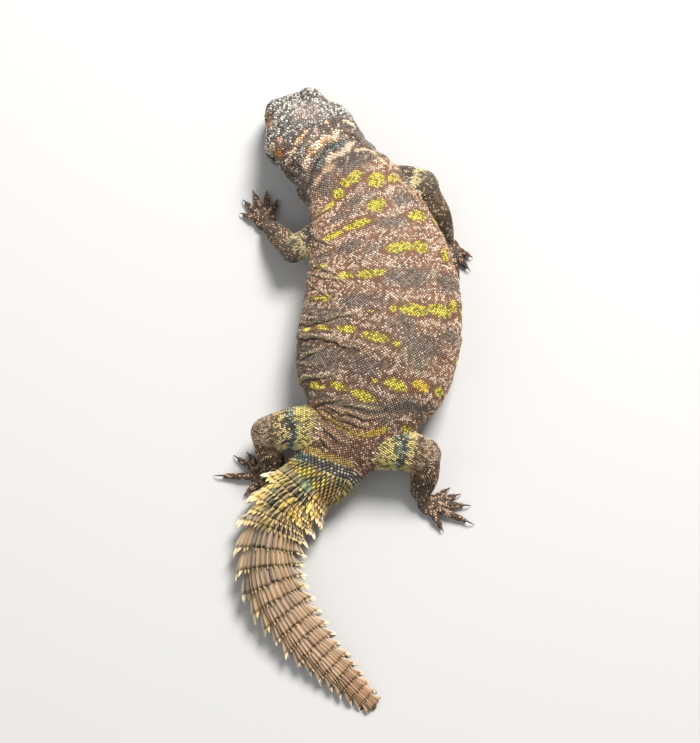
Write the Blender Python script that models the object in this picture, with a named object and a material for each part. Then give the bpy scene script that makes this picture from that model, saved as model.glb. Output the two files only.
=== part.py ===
"""A life-size ornate spiny-tailed lizard (uromastyx), resting on its belly with its head turned and lowered.

Sizes are in millimetres until a mesh is made. +Y runs towards the head, +X to the animal's right, +Z up,
and the floor is at Z = 0, where the belly, chin, hands, feet and tail rest on small flats.
"""

import math

import bmesh
import bpy
import numpy as np
from mathutils import Matrix

MM = 0.001
GAP = 0.4  # between neighbouring nodes
CUT = 0.6  # between lengths of the trunk and tail, less on the inside of a bend
FLOOR = 0.0
SHIFT = np.array([-0.46, -1.57, 0.0])  # puts the origin under the middle of the whole animal

# Trunk stations from the back of the head to the root of the tail:
# x, y, height of the widest line, half width, rise above that line, drop below it
TRUNK = {
    "nape": (-5.3, 57.7, 12.0, 10.0, 5.7, 5.7),
    "neck": (-0.8, 51.6, 10.8, 10.5, 5.8, 6.6),
    "shoulders": (3.9, 45.3, 9.9, 12.0, 7.7, 8.6),
    "chest": (7.3, 36.1, 9.0, 15.1, 10.0, 9.5),
    "ribs": (9.1, 24.8, 8.6, 17.7, 11.8, 9.5),
    "belly": (8.6, 13.4, 8.6, 18.5, 12.2, 9.5),
    "loins": (5.7, 2.0, 8.4, 17.0, 10.6, 9.3),
    "hips": (1.9, -8.2, 7.4, 10.6, 8.0, 8.1),
    "vent": (-3.2, -15.7, 5.8, 7.9, 6.2, 6.2),
}
TAIL_ROUTE = (
    (-9.0, -21.7),
    (-13.4, -26.9),
    (-15.9, -32.5),
    (-16.4, -38.6),
    (-14.4, -45.2),
    (-11.2, -50.2),
    (-6.6, -56.0),
    (-1.5, -61.1),
    (3.1, -65.6),
    (7.2, -69.4),
)
TAIL_ROOT_HALF, TAIL_TIP_HALF, TAIL_TAPER = 6.6, 1.0, 2.0
TAIL_RISE, TAIL_DROP = 0.74, 0.70  # as shares of the half width
BELLY_FLAT = 0.25  # how far the tail's underside would pass the floor, which flattens it
BODY_SIDES, BODY_POWER = 24, 2.25
BODY_STEP = 3.6  # spacing of the trunk's rings

# The trunk and tail are parted at these distances along the spine
NECK_END, TORSO_END, HIPS_END = 10.5, 59.0, 76.5
TAIL_CUTS = (94.5, 109.0, 124.5)

# Head, in its own frame: x forwards from the nape, y to the left, z up
HEAD_LENGTH, HEAD_ROUNDING = 20.2, 4.0
HEAD_YAW, HEAD_PITCH, HEAD_ROLL = math.radians(30.5), math.radians(27.0), math.radians(11.0)
HEAD = {  # distance forwards: half width, top, bottom
    0.0: (10.0, 5.7, -5.7),
    3.4: (10.8, 6.3, -6.1),
    6.4: (10.8, 6.3, -6.2),
    9.6: (9.3, 5.6, -6.0),
    12.6: (7.6, 4.5, -5.6),
    15.6: (6.5, 3.9, -5.1),
    18.2: (5.8, 3.1, -4.6),
    20.2: (5.2, 2.3, -4.2),
}
HEAD_SIDES, HEAD_POWER = 28, 2.5
BROW_AT, BROW_RADII = (12.0, 4.2, 3.0), (4.5, 3.1, 3.3)
EYE_AT, EYE_RADIUS, LID_RADIUS = (12.6, 4.6, 1.7), 2.1, 2.95
LID_OPENING, LID_RIM = (1.85, 1.7, 1.15), 0.36  # the opening between the lids, and its raised rim
EAR_AT, EAR_RADII = (2.4, 10.9, 0.2), (0.95, 1.4, 2.4)
NOSTRIL_AT, NOSTRIL_RADIUS = (18.5, 3.4, 1.5), 0.5
MOUTH_LINE = ((24.0, -1.9), (17.5, -2.2), (13.5, -2.9), (11.0, -2.8), (9.8, -3.6), (8.8, -9.5), (24.0, -9.5))

# Tail rings: each whorl widens to its rear edge, which carries the spines
WHORLS, WHORL_SHRINK, WHORL_LIFT, WHORL_STEP = 20, 0.96, 0.45, 0.4
SPINES_PER_WHORL, SPINE_ARC = 10, math.radians(106)
SIDE_SPINE, BACK_SPINE, SPINE_WIDTH = 2.3, 1.2, 0.95
FOLD_LENGTH, FOLD_HEIGHT, FOLDS_END = 4.6, 0.45, 15.0  # loose folds of skin on the sides of the neck

# Limbs: the points each length follows, and the radius at each point
LIMBS = {
    "upper_arm_left": (((0.5, 40.0, 8.2), (-6.0, 37.0, 8.4), (-11.5, 34.0, 7.8)), (4.2, 3.6, 2.9)),
    "forearm_left": (((-11.5, 34.3, 7.6), (-14.2, 37.6, 5.6), (-17.0, 41.0, 2.9)), (2.7, 2.7, 1.9)),
    "upper_arm_right": (((8.5, 47.8, 8.6), (13.4, 50.0, 8.9), (18.6, 49.4, 8.6)), (4.3, 4.2, 4.0)),
    "forearm_right": (((19.4, 47.6, 8.0), (22.5, 43.4, 5.6), (24.4, 39.2, 2.9)), (3.4, 3.0, 2.0)),
    "thigh_left": (((-2.0, -8.4, 7.8), (-10.0, -7.7, 8.2), (-16.9, -8.9, 8.2)), (5.2, 4.7, 3.7)),
    "shank_left": (((-16.8, -9.4, 7.8), (-16.5, -13.0, 5.8), (-15.7, -16.6, 3.2)), (3.3, 3.0, 1.9)),
    "thigh_right": (((4.0, -11.2, 7.8), (11.8, -12.4, 8.2), (18.6, -13.8, 8.2)), (5.2, 4.7, 3.7)),
    "shank_right": (((18.6, -14.3, 7.9), (18.7, -18.2, 5.5), (17.9, -22.0, 2.9)), (3.3, 3.1, 2.0)),
}
LIMB_SIDES, LIMB_RINGS = 14, 9

# Hands and feet: palm centre, pointing direction in degrees from +X, palm length and width, then each digit's
# spread from that direction in degrees and its length with the claw
PAWS = {
    "hand_left": ((-18.3, 43.4), 112.0, 5.6, 5.2, ((-58, 4.6), (-28, 6.2), (0, 6.8), (28, 6.2), (58, 4.8))),
    "hand_right": ((25.2, 36.6), -72.0, 5.6, 5.2, ((-58, 4.6), (-28, 6.0), (0, 6.4), (28, 5.8), (58, 4.4))),
    "foot_left": ((-18.2, -17.9), 160.0, 5.8, 5.0, ((-72, 4.2), (-44, 5.4), (-20, 6.8), (22, 9.6), (76, 4.6))),
    "foot_right": ((20.0, -24.4), -12.0, 5.8, 5.0, ((-60, 5.2), (-14, 9.4), (14, 7.8), (38, 6.0), (62, 4.6))),
}
PALM_HEIGHT, DIGIT_RADIUS, CLAW_SHARE, CLAW_RADIUS = 2.6, 0.78, 0.27, 0.42
DIGIT_SIDES = 6

COLOURS = {  # base colour and roughness
    "head": ((0.25, 0.24, 0.23), 0.7),
    "eye": ((0.05, 0.03, 0.02), 0.15),
    "trunk": ((0.30, 0.22, 0.17), 0.75),
    "tail": ((0.50, 0.40, 0.26), 0.7),
    "limb": ((0.24, 0.20, 0.15), 0.75),
}


def smooth(at, knots, values):
    """A smooth curve through the values, whose slope at each knot comes from its neighbours."""
    knots, values = np.asarray(knots, float), np.asarray(values, float)
    slopes = np.gradient(values, knots, axis=0)
    span = np.clip(np.searchsorted(knots, at) - 1, 0, len(knots) - 2)
    width = knots[span + 1] - knots[span]
    t = (np.asarray(at) - knots[span]) / width
    if values.ndim > 1:
        t, width = t[..., None], width[..., None]
    low, high = values[span], values[span + 1]
    bend_low, bend_high = slopes[span] * width, slopes[span + 1] * width
    steep = high - low
    return low + t * (bend_low + t * (3 * steep - 2 * bend_low - bend_high + t * (bend_low + bend_high - 2 * steep)))


def along(points):
    """Distance along a row of points."""
    steps = np.linalg.norm(np.diff(points, axis=0), axis=1)
    return np.concatenate([[0.0], np.cumsum(steps)])


def tail_sizes(share):
    """Height of the widest line, half width, rise and drop, at a share of the tail's length."""
    half = TAIL_TIP_HALF + (TAIL_ROOT_HALF - TAIL_TIP_HALF) * (1 - share**TAIL_TAPER)
    drop = TAIL_DROP * half
    return np.stack([drop - BELLY_FLAT, half, TAIL_RISE * half, drop], axis=-1)


TRUNK_ROWS = np.array(list(TRUNK.values()))
TAIL_POINTS = np.array(TAIL_ROUTE)
ROUTE = np.vstack([TRUNK_ROWS[:, :2], TAIL_POINTS])
STATIONS = along(ROUTE)
TAIL_START, BODY_END = STATIONS[len(TRUNK_ROWS)], STATIONS[-1]
SIZES = np.vstack([TRUNK_ROWS[:, 2:], tail_sizes(along(TAIL_POINTS) / (BODY_END - TAIL_START))])


def spine_frame(at):
    """Centre, forward, left and up of the body at distances along the spine; the neck turns with the head."""
    at = np.atleast_1d(at).astype(float)
    level = smooth(at, STATIONS, SIZES[:, 0])
    centre = np.column_stack([smooth(at, STATIONS, ROUTE), level])
    ahead = smooth(np.clip(at - 0.2, 0, BODY_END), STATIONS, ROUTE)
    behind = smooth(np.clip(at + 0.2, 0, BODY_END), STATIONS, ROUTE)
    heading = (ahead - behind) / np.linalg.norm(ahead - behind, axis=1)[:, None]
    head_heading = np.array([-math.sin(HEAD_YAW), math.cos(HEAD_YAW)])
    hold = np.clip(1 - at / NECK_END, 0, 1)
    hold = hold * hold * (3 - 2 * hold)
    heading = heading * (1 - hold[:, None]) + head_heading * hold[:, None]
    heading /= np.linalg.norm(heading, axis=1)[:, None]
    return centre, *turned(heading, HEAD_PITCH * hold, HEAD_ROLL * hold)


def turned(heading, pitch, roll):
    """Forward, left and up for level headings lowered by pitch, with the left side raised by roll."""
    zero, one = np.zeros(len(heading)), np.ones(len(heading))
    level = np.column_stack([heading, zero])
    left = np.column_stack([-heading[:, 1], heading[:, 0], zero])
    up = np.column_stack([zero, zero, one])
    cos_p, sin_p = np.cos(pitch)[:, None], np.sin(pitch)[:, None]
    cos_r, sin_r = np.cos(roll)[:, None], np.sin(roll)[:, None]
    forward = level * cos_p - up * sin_p
    up = up * cos_p + level * sin_p
    return forward, left * cos_r + up * sin_r, up * cos_r - left * sin_r


def oval(sides, power, half, rise, drop):
    """Left and up offsets of rounded rings: half wide, with their own rise and drop, squarer for a higher power."""
    angle = 2 * np.pi * np.arange(sides) / sides
    across = np.sign(np.cos(angle)) * np.abs(np.cos(angle)) ** (2 / power)
    high = np.sign(np.sin(angle)) * np.abs(np.sin(angle)) ** (2 / power)
    tall = np.where(high[None, :] > 0, rise[:, None], drop[:, None])
    return half[:, None] * across, tall * high[None, :]


def fold(at):
    """How far the neck's loose skin stands out at distances along the spine."""
    fade = np.clip((FOLDS_END - at) / 3, 0, 1) * np.clip(at / 2, 0, 1)
    return FOLD_HEIGHT * fade * np.sin(2 * np.pi * (at - 1.0) / FOLD_LENGTH)


def body_rings(at, grow=0.0, swell=0.0):
    """Rings of the trunk or tail at distances along the spine, grown outwards and swollen by a share."""
    centre, _, left, up = spine_frame(at)
    half, rise, drop = smooth(at, STATIONS, SIZES[:, 1:]).T
    across, high = oval(BODY_SIDES, BODY_POWER, half + grow + swell, rise + grow + swell, drop + grow)
    across += np.sign(across) * fold(at)[:, None] * (np.abs(across) / half[:, None]) ** 3
    rings = centre[:, None] + left[:, None] * across[..., None] + up[:, None] * high[..., None]
    rings[..., 2] = np.maximum(rings[..., 2], FLOOR - grow)
    return rings


def head_frame():
    """The head's axes and the place of its nape, as a matrix from head to world."""
    centre, forward, left, up = spine_frame(0.0)
    axes = np.eye(4)
    axes[:3, 0], axes[:3, 1], axes[:3, 2], axes[:3, 3] = forward[0], left[0], up[0], centre[0]
    return axes


def made(name, points, faces):
    """A closed mesh object from points in millimetres, with its faces turned outwards."""
    mesh = bpy.data.meshes.new(name)
    mesh.from_pydata(((np.asarray(points) + SHIFT) * MM).tolist(), [], faces)
    shape = bmesh.new()
    shape.from_mesh(mesh)
    bmesh.ops.triangulate(shape, faces=[f for f in shape.faces if len(f.verts) > 4])
    bmesh.ops.recalc_face_normals(shape, faces=shape.faces)
    shape.to_mesh(mesh)
    shape.free()
    body = bpy.data.objects.new(name, mesh)
    bpy.context.scene.collection.objects.link(body)
    return body


def loft(name, rings):
    """A closed skin over rings of equal count, flat at both ends."""
    rows, sides = rings.shape[:2]
    low = (np.arange(rows - 1)[:, None] * sides + np.arange(sides)).ravel()
    side = (np.arange(rows - 1)[:, None] * sides + (np.arange(sides) + 1) % sides).ravel()
    faces = np.concatenate([np.stack([low, side, side + sides], 1), np.stack([low, side + sides, low + sides], 1)])
    caps = [list(range(sides))[::-1], list(range((rows - 1) * sides, rows * sides))]
    return made(name, rings.reshape(-1, 3), faces.tolist() + caps)


def ball(name, centre, radii, axes, segments=16, rows=10):
    """An ellipsoid in the head's frame."""
    bpy.ops.mesh.primitive_uv_sphere_add(segments=segments, ring_count=rows, radius=1.0)
    return placed(name, centre, radii, axes)


def placed(name, centre, radii, axes, turn=None):
    """Names the new primitive, sizes it and moves it into place, with the change held in its mesh."""
    body = bpy.context.object
    body.name = name
    local = Matrix.Translation(centre) @ (turn or Matrix.Identity(4)) @ Matrix.Diagonal((*radii, 1.0))
    whole = Matrix.Scale(MM, 4) @ Matrix.Translation(SHIFT) @ Matrix(axes.tolist()) @ local
    body.data.transform(whole)
    if whole.determinant() < 0:
        body.data.flip_normals()
    return body


def joined(target, operation, others, solver="EXACT"):
    """Applies one Boolean of the target with several closed bodies, which are then removed."""
    pieces = bpy.data.collections.new(target.name + " pieces")
    bpy.context.scene.collection.children.link(pieces)
    for other in others:
        pieces.objects.link(other)
    change = target.modifiers.new(operation.lower(), "BOOLEAN")
    change.operation = operation
    change.operand_type = "COLLECTION"
    change.collection = pieces
    change.solver = solver
    graph = bpy.context.evaluated_depsgraph_get()
    mesh = bpy.data.meshes.new_from_object(target.evaluated_get(graph))
    target.modifiers.clear()
    target.data = mesh
    for other in list(others):
        bpy.data.objects.remove(other)
    bpy.data.collections.remove(pieces)
    keep_largest(target)
    return target


def keep_largest(target):
    """Keeps only the largest closed surface of a mesh."""
    shape = bmesh.new()
    shape.from_mesh(target.data)
    bmesh.ops.triangulate(shape, faces=shape.faces)
    left_over, parts = set(shape.verts), []
    while left_over:
        part, front = set(), [next(iter(left_over))]
        while front:
            corner = front.pop()
            if corner in part:
                continue
            part.add(corner)
            front.extend(edge.other_vert(corner) for edge in corner.link_edges)
        left_over -= part
        parts.append(part)
    largest = max(parts, key=lambda part: surface_volume(part))
    bmesh.ops.delete(shape, geom=[v for v in shape.verts if v not in largest], context="VERTS")
    shape.to_mesh(target.data)
    shape.free()


def surface_volume(corners):
    """The volume inside a closed surface, from its corners' faces."""
    faces = {face for corner in corners for face in corner.link_faces}
    return sum(f.verts[0].co.dot(f.verts[1].co.cross(f.verts[2].co)) for f in faces) / 6


def floor_block():
    """What lies under the floor, to cut flats with."""
    bpy.ops.mesh.primitive_cube_add(size=1.0)
    return placed("floor", (0.0, 0.0, -10.0), (300.0, 300.0, 20.0), np.eye(4))


def head_rings(grow=0.0):
    """Rings of the head in its own frame, from the nape to the rounded snout."""
    straight = np.linspace(0.0, HEAD_LENGTH - HEAD_ROUNDING, 9)
    turn = math.pi / 2 * np.array([0.25, 0.45, 0.65, 0.82, 0.94])
    at = np.concatenate([straight, HEAD_LENGTH - HEAD_ROUNDING * (1 - np.sin(turn))])
    half, top, bottom = smooth(at, list(HEAD), list(HEAD.values())).T
    past = np.clip((at - (HEAD_LENGTH - HEAD_ROUNDING)) / HEAD_ROUNDING, 0, 1)
    blunt = np.sqrt(1 - past**2)
    middle = (top + bottom) / 2 * past
    across, high = oval(
        HEAD_SIDES, HEAD_POWER, half * blunt + grow, (top - middle) * blunt + grow, (middle - bottom) * blunt + grow
    )
    forward = np.repeat(at[:, None], HEAD_SIDES, axis=1)
    return np.stack([forward, across, middle[:, None] + high], axis=-1)


def to_world(points, axes):
    """Points of the head's frame in the world."""
    return points @ axes[:3, :3].T + axes[:3, 3]


def mouth_block(name, axes, grow):
    """The space below the mouth line and in front of the jaw's angle, made larger by grow."""
    line = np.array(MOUTH_LINE) + np.array([(-grow, grow)])
    line[[0, -1], 0] += grow
    sides = [np.column_stack([line[:, 0], np.full(len(line), y), line[:, 1]]) for y in (-14.0, 14.0)]
    return loft(name, to_world(np.array(sides), axes))


def make_head():
    """Head, lower jaw and eyes: brows, lid rings, ears, nostrils and the line of the mouth."""
    axes = head_frame()
    nape_gap = np.array([CUT / 2, 0.0, 0.0])
    rings = head_rings()
    rings[0] += nape_gap
    head = loft("head", to_world(rings, axes))
    jaw = loft("jaw", to_world(rings, axes))
    additions, cuts = [], [mouth_block("mouth", axes, GAP), floor_block()]
    for side in (1, -1):
        mirror = np.diag([1.0, side, 1.0, 1.0])
        own = axes @ mirror
        additions.append(ball("brow", BROW_AT, BROW_RADII, own))
        additions.append(ball("lids", EYE_AT, [LID_RADIUS] * 3, own))
        bpy.ops.mesh.primitive_torus_add(
            major_radius=1.0, minor_radius=LID_RIM / LID_OPENING[2], major_segments=16, minor_segments=6
        )
        rim_at = (EYE_AT[0], EYE_AT[1] + 0.88 * LID_RADIUS, EYE_AT[2])
        rim_size = (LID_OPENING[0], LID_OPENING[2], 1.0)
        additions.append(placed("lid rim", rim_at, rim_size, own, Matrix.Rotation(math.radians(-90), 4, "X")))
        opening_at = (EYE_AT[0], EYE_AT[1] + LID_RADIUS + 0.1, EYE_AT[2])
        cuts.append(ball("socket", EYE_AT, [EYE_RADIUS + GAP * 0.75] * 3, own))
        cuts.append(ball("opening", opening_at, LID_OPENING, own))
        cuts.append(ball("ear", EAR_AT, EAR_RADII, own, 12, 8))
        cuts.append(ball("nostril", NOSTRIL_AT, [NOSTRIL_RADIUS] * 3, own, 8, 6))
        eye = ball("eye_left" if side > 0 else "eye_right", EYE_AT, [EYE_RADIUS] * 3, own)
        finished(eye, "eye")
    joined(head, "UNION", additions)
    joined(head, "DIFFERENCE", cuts)
    joined(jaw, "INTERSECT", [mouth_block("mouth", axes, 0.0)])
    joined(jaw, "DIFFERENCE", [floor_block()])
    finished(head, "head")
    finished(jaw, "head")


def spread(start, end):
    """Distances between two cuts, closer in the folded neck, with half the gap left at each cut."""
    steps = np.concatenate([np.arange(0.0, FOLDS_END, FOLD_LENGTH / 4), np.arange(FOLDS_END, BODY_END, BODY_STEP)])
    inner = steps[(steps > start + 0.6) & (steps < end - 0.6)]
    return np.concatenate([[start + CUT / 2], inner, [end - CUT / 2]])


def make_trunk():
    """Neck, torso and hips, as lengths of one body."""
    cuts = (0.0, NECK_END, TORSO_END, HIPS_END)
    for name, start, end in zip(("neck", "torso", "hips"), cuts[:-1], cuts[1:]):
        finished(loft(name, body_rings(spread(start, end))), "trunk")


def whorl_edges():
    """Where each tail ring starts, closer together towards the tip."""
    lengths = WHORL_SHRINK ** np.arange(WHORLS)
    lengths *= (BODY_END - HIPS_END) / lengths.sum()
    return HIPS_END + np.concatenate([[0.0], np.cumsum(lengths)])


def spine(start, end, angle):
    """One keeled spine on the rear edge of a whorl: eight faces, its root sunk in the tail."""
    share = (start - HIPS_END) / (BODY_END - HIPS_END)
    sideways = abs(math.cos(angle)) ** 2
    reach = (BACK_SPINE + (SIDE_SPINE - BACK_SPINE) * sideways) * (1 - 0.55 * share) * min(1.0, 5 * share)
    wide = SPINE_WIDTH * (1 - 0.5 * share)
    at = np.array([end - 0.75 * (end - start), end - 0.6 * wide, end])
    centre, forward, left, up = spine_frame(at)
    half, rise, _ = smooth(at, STATIONS, SIZES[:, 1:]).T
    across = math.copysign(abs(math.cos(angle)) ** (2 / BODY_POWER), math.cos(angle))
    high = math.copysign(abs(math.sin(angle)) ** (2 / BODY_POWER), math.sin(angle))
    surface = centre + left * (half * across)[:, None] + up * (rise * high)[:, None]
    out = left[1] * across / half[1] + up[1] * high / rise[1]
    out /= np.linalg.norm(out)
    around = np.cross(out, forward[1])
    lift = WHORL_LIFT * 0.8
    tip = surface[2] + (lift + reach * (0.3 + 0.45 * sideways)) * out - reach * (0.95 - 0.25 * sideways) * forward[2]
    front = surface[0] + 0.2 * out
    keel = surface[1] + (lift + 0.35 * wide + 0.1) * out
    root = (surface[0] + surface[1]) / 2 - 0.8 * out
    sides = [surface[1] + 0.1 * out + sign * wide * around for sign in (1, -1)]
    points = np.array([front, tip, sides[0], keel, sides[1], root])
    points[:, 2] = np.maximum(points[:, 2], FLOOR + 0.35)
    faces = [(0, 2, 3), (0, 3, 4), (0, 4, 5), (0, 5, 2), (1, 3, 2), (1, 4, 3), (1, 5, 4), (1, 2, 5)]
    return made("spine", points, faces)


def make_tail():
    """The tail in lengths, each a stack of flaring rings fused with the spines on their rear edges."""
    edges = whorl_edges()
    nearest = [int(np.argmin(np.abs(edges - cut))) for cut in TAIL_CUTS]
    bounds = [0, *nearest, WHORLS]
    for number, (first, last) in enumerate(zip(bounds[:-1], bounds[1:]), 1):
        at, lift = [], []
        for start, end in zip(edges[first:last], edges[first + 1 : last + 1]):
            at += [start, end - WHORL_STEP]
            lift += [0.0, WHORL_LIFT]
        at[0] += CUT / 2
        at.append(edges[last] - CUT / 2)
        lift.append(0.1)
        length = loft(f"tail_{number}", body_rings(np.array(at), swell=np.array(lift)))
        spines = []
        for ring in range(max(first, 1), last):
            count = SPINES_PER_WHORL - (ring > WHORLS * 0.5) * 2 - (ring > WHORLS * 0.75) * 2
            for angle in np.linspace(-SPINE_ARC, SPINE_ARC, count):
                spines.append(spine(edges[ring], edges[ring + 1] - WHORL_STEP, math.pi / 2 + angle))
        finished(joined(length, "UNION", spines, "MANIFOLD"), "tail")


def limb_rings(points, radii, grow=0.0):
    """Rings round a limb's centre line, rounded at both ends."""
    points, radii = np.array(points), np.array(radii)
    knots = along(points)
    turn = np.linspace(-math.pi / 2, math.pi / 2, LIMB_RINGS + 2)[1:-1]
    reach_start, reach_end = -radii[0] * 0.5 - grow, knots[-1] + radii[-1] + grow
    at = (reach_start + reach_end) / 2 + (reach_end - reach_start) / 2 * np.sin(turn)
    inside = np.clip(at, 0, knots[-1])
    centre = smooth(inside, knots, points)
    tangent = smooth(np.clip(inside + 0.1, 0, knots[-1]), knots, points)
    tangent -= smooth(np.clip(inside - 0.1, 0, knots[-1]), knots, points)
    tangent /= np.linalg.norm(tangent, axis=1)[:, None]
    centre += tangent * (at - inside)[:, None]
    radius = smooth(inside, knots, radii) + grow
    past = np.clip(np.abs(at - inside) / radius, 0, 0.98)
    radius *= np.sqrt(1 - past**2)
    side = np.cross(tangent, (0.0, 0.0, 1.0))
    side /= np.linalg.norm(side, axis=1)[:, None]
    above = np.cross(side, tangent)
    angle = 2 * np.pi * np.arange(LIMB_SIDES) / LIMB_SIDES
    ring = np.cos(angle)[:, None] * side[:, None] + np.sin(angle)[:, None] * above[:, None]
    return centre[:, None] + ring * radius[:, None, None]


def body_clearance():
    """The trunk and tail root grown by the gap, to cut the limbs' roots with."""
    at = np.concatenate([spread(0.0, HIPS_END), np.arange(HIPS_END, TAIL_CUTS[0], BODY_STEP / 2)])
    return loft("body clearance", body_rings(at, grow=GAP * 1.25, swell=np.where(at > HIPS_END, WHORL_LIFT, 0.0)))


def make_paw(name, parent):
    """A hand or foot: a low palm, five digits with claws, and flats where it rests."""
    (x, y), pointing, length, width, digits = PAWS[name]
    direction = math.radians(pointing)
    basis = np.array([[math.cos(direction), math.sin(direction)], [-math.sin(direction), math.cos(direction)]])
    share = np.linspace(-1, 1, 9)
    round_off = np.sqrt(np.maximum(1 - np.abs(share) ** 2.6, 0.02))
    half, rise, drop = width / 2 * round_off, PALM_HEIGHT * 0.6 * round_off, PALM_HEIGHT * 0.45 * round_off
    across, high = oval(10, 2.2, half, rise, drop)
    level = PALM_HEIGHT * 0.4
    flat = share[:, None, None] * length / 2 * basis[0] + across[..., None] * basis[1] + np.array([x, y])
    palm = loft(name, np.concatenate([flat, (level + high)[..., None]], axis=-1))
    pieces = [digit(basis, (x, y), length, width, spread_by, reach) for spread_by, reach in digits]
    joined(palm, "UNION", pieces)
    joined(palm, "DIFFERENCE", [floor_block(), limb_clearance(parent), body_clearance()])
    finished(palm, "limb")


def digit(basis, centre, palm_length, palm_width, spread_by, reach):
    """One digit: it arches off the palm, comes down to the floor and narrows into a hooked claw."""
    angle = math.radians(spread_by)
    root = basis[0] * palm_length * 0.32 * math.cos(angle) + basis[1] * palm_width * 0.36 * math.sin(angle)
    way = basis[0] * math.cos(angle * 0.8) + basis[1] * math.sin(angle * 0.8)
    at = np.array([0.0, 0.28, 0.52, 1 - CLAW_SHARE, 1 - CLAW_SHARE * 0.7, 1 - CLAW_SHARE * 0.3, 1.0])
    height = np.array([1.15, 1.45, 1.1, 0.72, 0.8, 0.6, 0.12])
    radius = np.array([0.95, 0.95, 0.92, 0.88, CLAW_RADIUS / DIGIT_RADIUS, 0.36, 0.12]) * DIGIT_RADIUS
    flat = np.array(centre) + root + way * (at * reach)[:, None]
    middle = np.column_stack([flat, height])
    side = np.array([-way[1], way[0], 0.0])
    turn = 2 * np.pi * (np.arange(DIGIT_SIDES) + 0.5) / DIGIT_SIDES
    ring = np.cos(turn)[:, None] * side + np.sin(turn)[:, None] * np.array([0.0, 0.0, 1.0])
    return loft("digit", middle[:, None] + ring * radius[:, None, None])


def limb_clearance(name):
    """A limb length grown by the gap, to cut its neighbour with."""
    return loft("limb clearance", limb_rings(*LIMBS[name], grow=GAP))


def make_limbs():
    """Arms and legs: each length is cut clear of the one it grows from."""
    chains = (("upper_arm", "forearm", "hand"), ("thigh", "shank", "foot"))
    for side in ("left", "right"):
        for root, middle, paw in chains:
            upper = loft(f"{root}_{side}", limb_rings(*LIMBS[f"{root}_{side}"]))
            finished(joined(upper, "DIFFERENCE", [body_clearance()]), "limb")
            lower = loft(f"{middle}_{side}", limb_rings(*LIMBS[f"{middle}_{side}"]))
            joined(lower, "DIFFERENCE", [limb_clearance(f"{root}_{side}"), body_clearance(), floor_block()])
            finished(lower, "limb")
            make_paw(f"{paw}_{side}", f"{middle}_{side}")


def finished(body, coat):
    """Gives a node its material and smooth shading, and puts it in the animal's collection."""
    colour, roughness = COLOURS[coat]
    material = bpy.data.materials.get(coat) or bpy.data.materials.new(coat)
    material.use_nodes = True
    shader = material.node_tree.nodes["Principled BSDF"]
    shader.inputs["Base Color"].default_value = (*colour, 1.0)
    shader.inputs["Roughness"].default_value = roughness
    body.data.materials.clear()
    body.data.materials.append(material)
    body.data.shade_smooth()
    animal = bpy.data.collections["uromastyx"]
    for holder in body.users_collection:
        holder.objects.unlink(body)
    animal.objects.link(body)


def main():
    for leftover in list(bpy.data.objects):
        bpy.data.objects.remove(leftover)
    animal = bpy.data.collections.new("uromastyx")
    bpy.context.scene.collection.children.link(animal)
    make_trunk()
    make_tail()
    make_head()
    make_limbs()


main()
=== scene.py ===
"""An ornate spiny-tailed lizard: one skin over its solids, with scales, eyes and claws, in a small studio.

Shapes are worked out in millimetres, in the frame of the solids before SHIFT is added: +Y towards the head,
+X to the animal's right, +Z up. One field gives the distance from the skin, negative inside. The skin, and
the foot of every scale, lie where that field is zero.
"""

import math
import bmesh
import bpy
import numpy as np
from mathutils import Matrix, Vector


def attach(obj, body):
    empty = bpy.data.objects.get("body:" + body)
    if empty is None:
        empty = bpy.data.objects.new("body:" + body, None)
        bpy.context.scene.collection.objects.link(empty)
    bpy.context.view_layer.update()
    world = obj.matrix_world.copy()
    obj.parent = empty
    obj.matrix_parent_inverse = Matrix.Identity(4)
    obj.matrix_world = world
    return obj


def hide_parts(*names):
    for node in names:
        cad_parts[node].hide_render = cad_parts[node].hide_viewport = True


MM = 0.001
# The solids' shift, which puts the origin under the middle of the animal
SHIFT = np.array([-0.46, -1.57, 0.0])

# Trunk stations from the back of the head to the root of the tail:
# x, y, height of the widest line, half width, rise above that line, drop below it
TRUNK = (
    (-5.3, 57.7, 12.0, 10.0, 5.7, 5.7),
    (-0.8, 51.6, 10.8, 10.5, 5.8, 6.6),
    (3.9, 45.3, 9.9, 12.0, 7.7, 8.6),
    (7.3, 36.1, 9.0, 15.1, 10.0, 9.5),
    (9.1, 24.8, 8.6, 17.7, 11.8, 9.5),
    (8.6, 13.4, 8.6, 18.5, 12.2, 9.5),
    (5.7, 2.0, 8.4, 17.0, 10.6, 9.3),
    (1.9, -8.2, 7.4, 10.6, 8.0, 8.1),
    (-3.2, -15.7, 5.8, 7.9, 6.2, 6.2),
)
TAIL_ROUTE = (
    (-9.0, -21.7), (-13.4, -26.9), (-15.9, -32.5), (-16.4, -38.6), (-14.4, -45.2), (-11.2, -50.2),
    (-6.6, -56.0), (-1.5, -61.1), (3.1, -65.6), (7.2, -69.4),
)
TAIL_ROOT_HALF, TAIL_TIP_HALF, TAIL_TAPER = 6.6, 1.0, 2.0
TAIL_RISE, TAIL_DROP, BELLY_FLAT = 0.74, 0.70, 0.25
BODY_POWER = 2.25
NECK_END, HIPS_END = 10.5, 76.5
SPINE_STEP = 0.5

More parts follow.
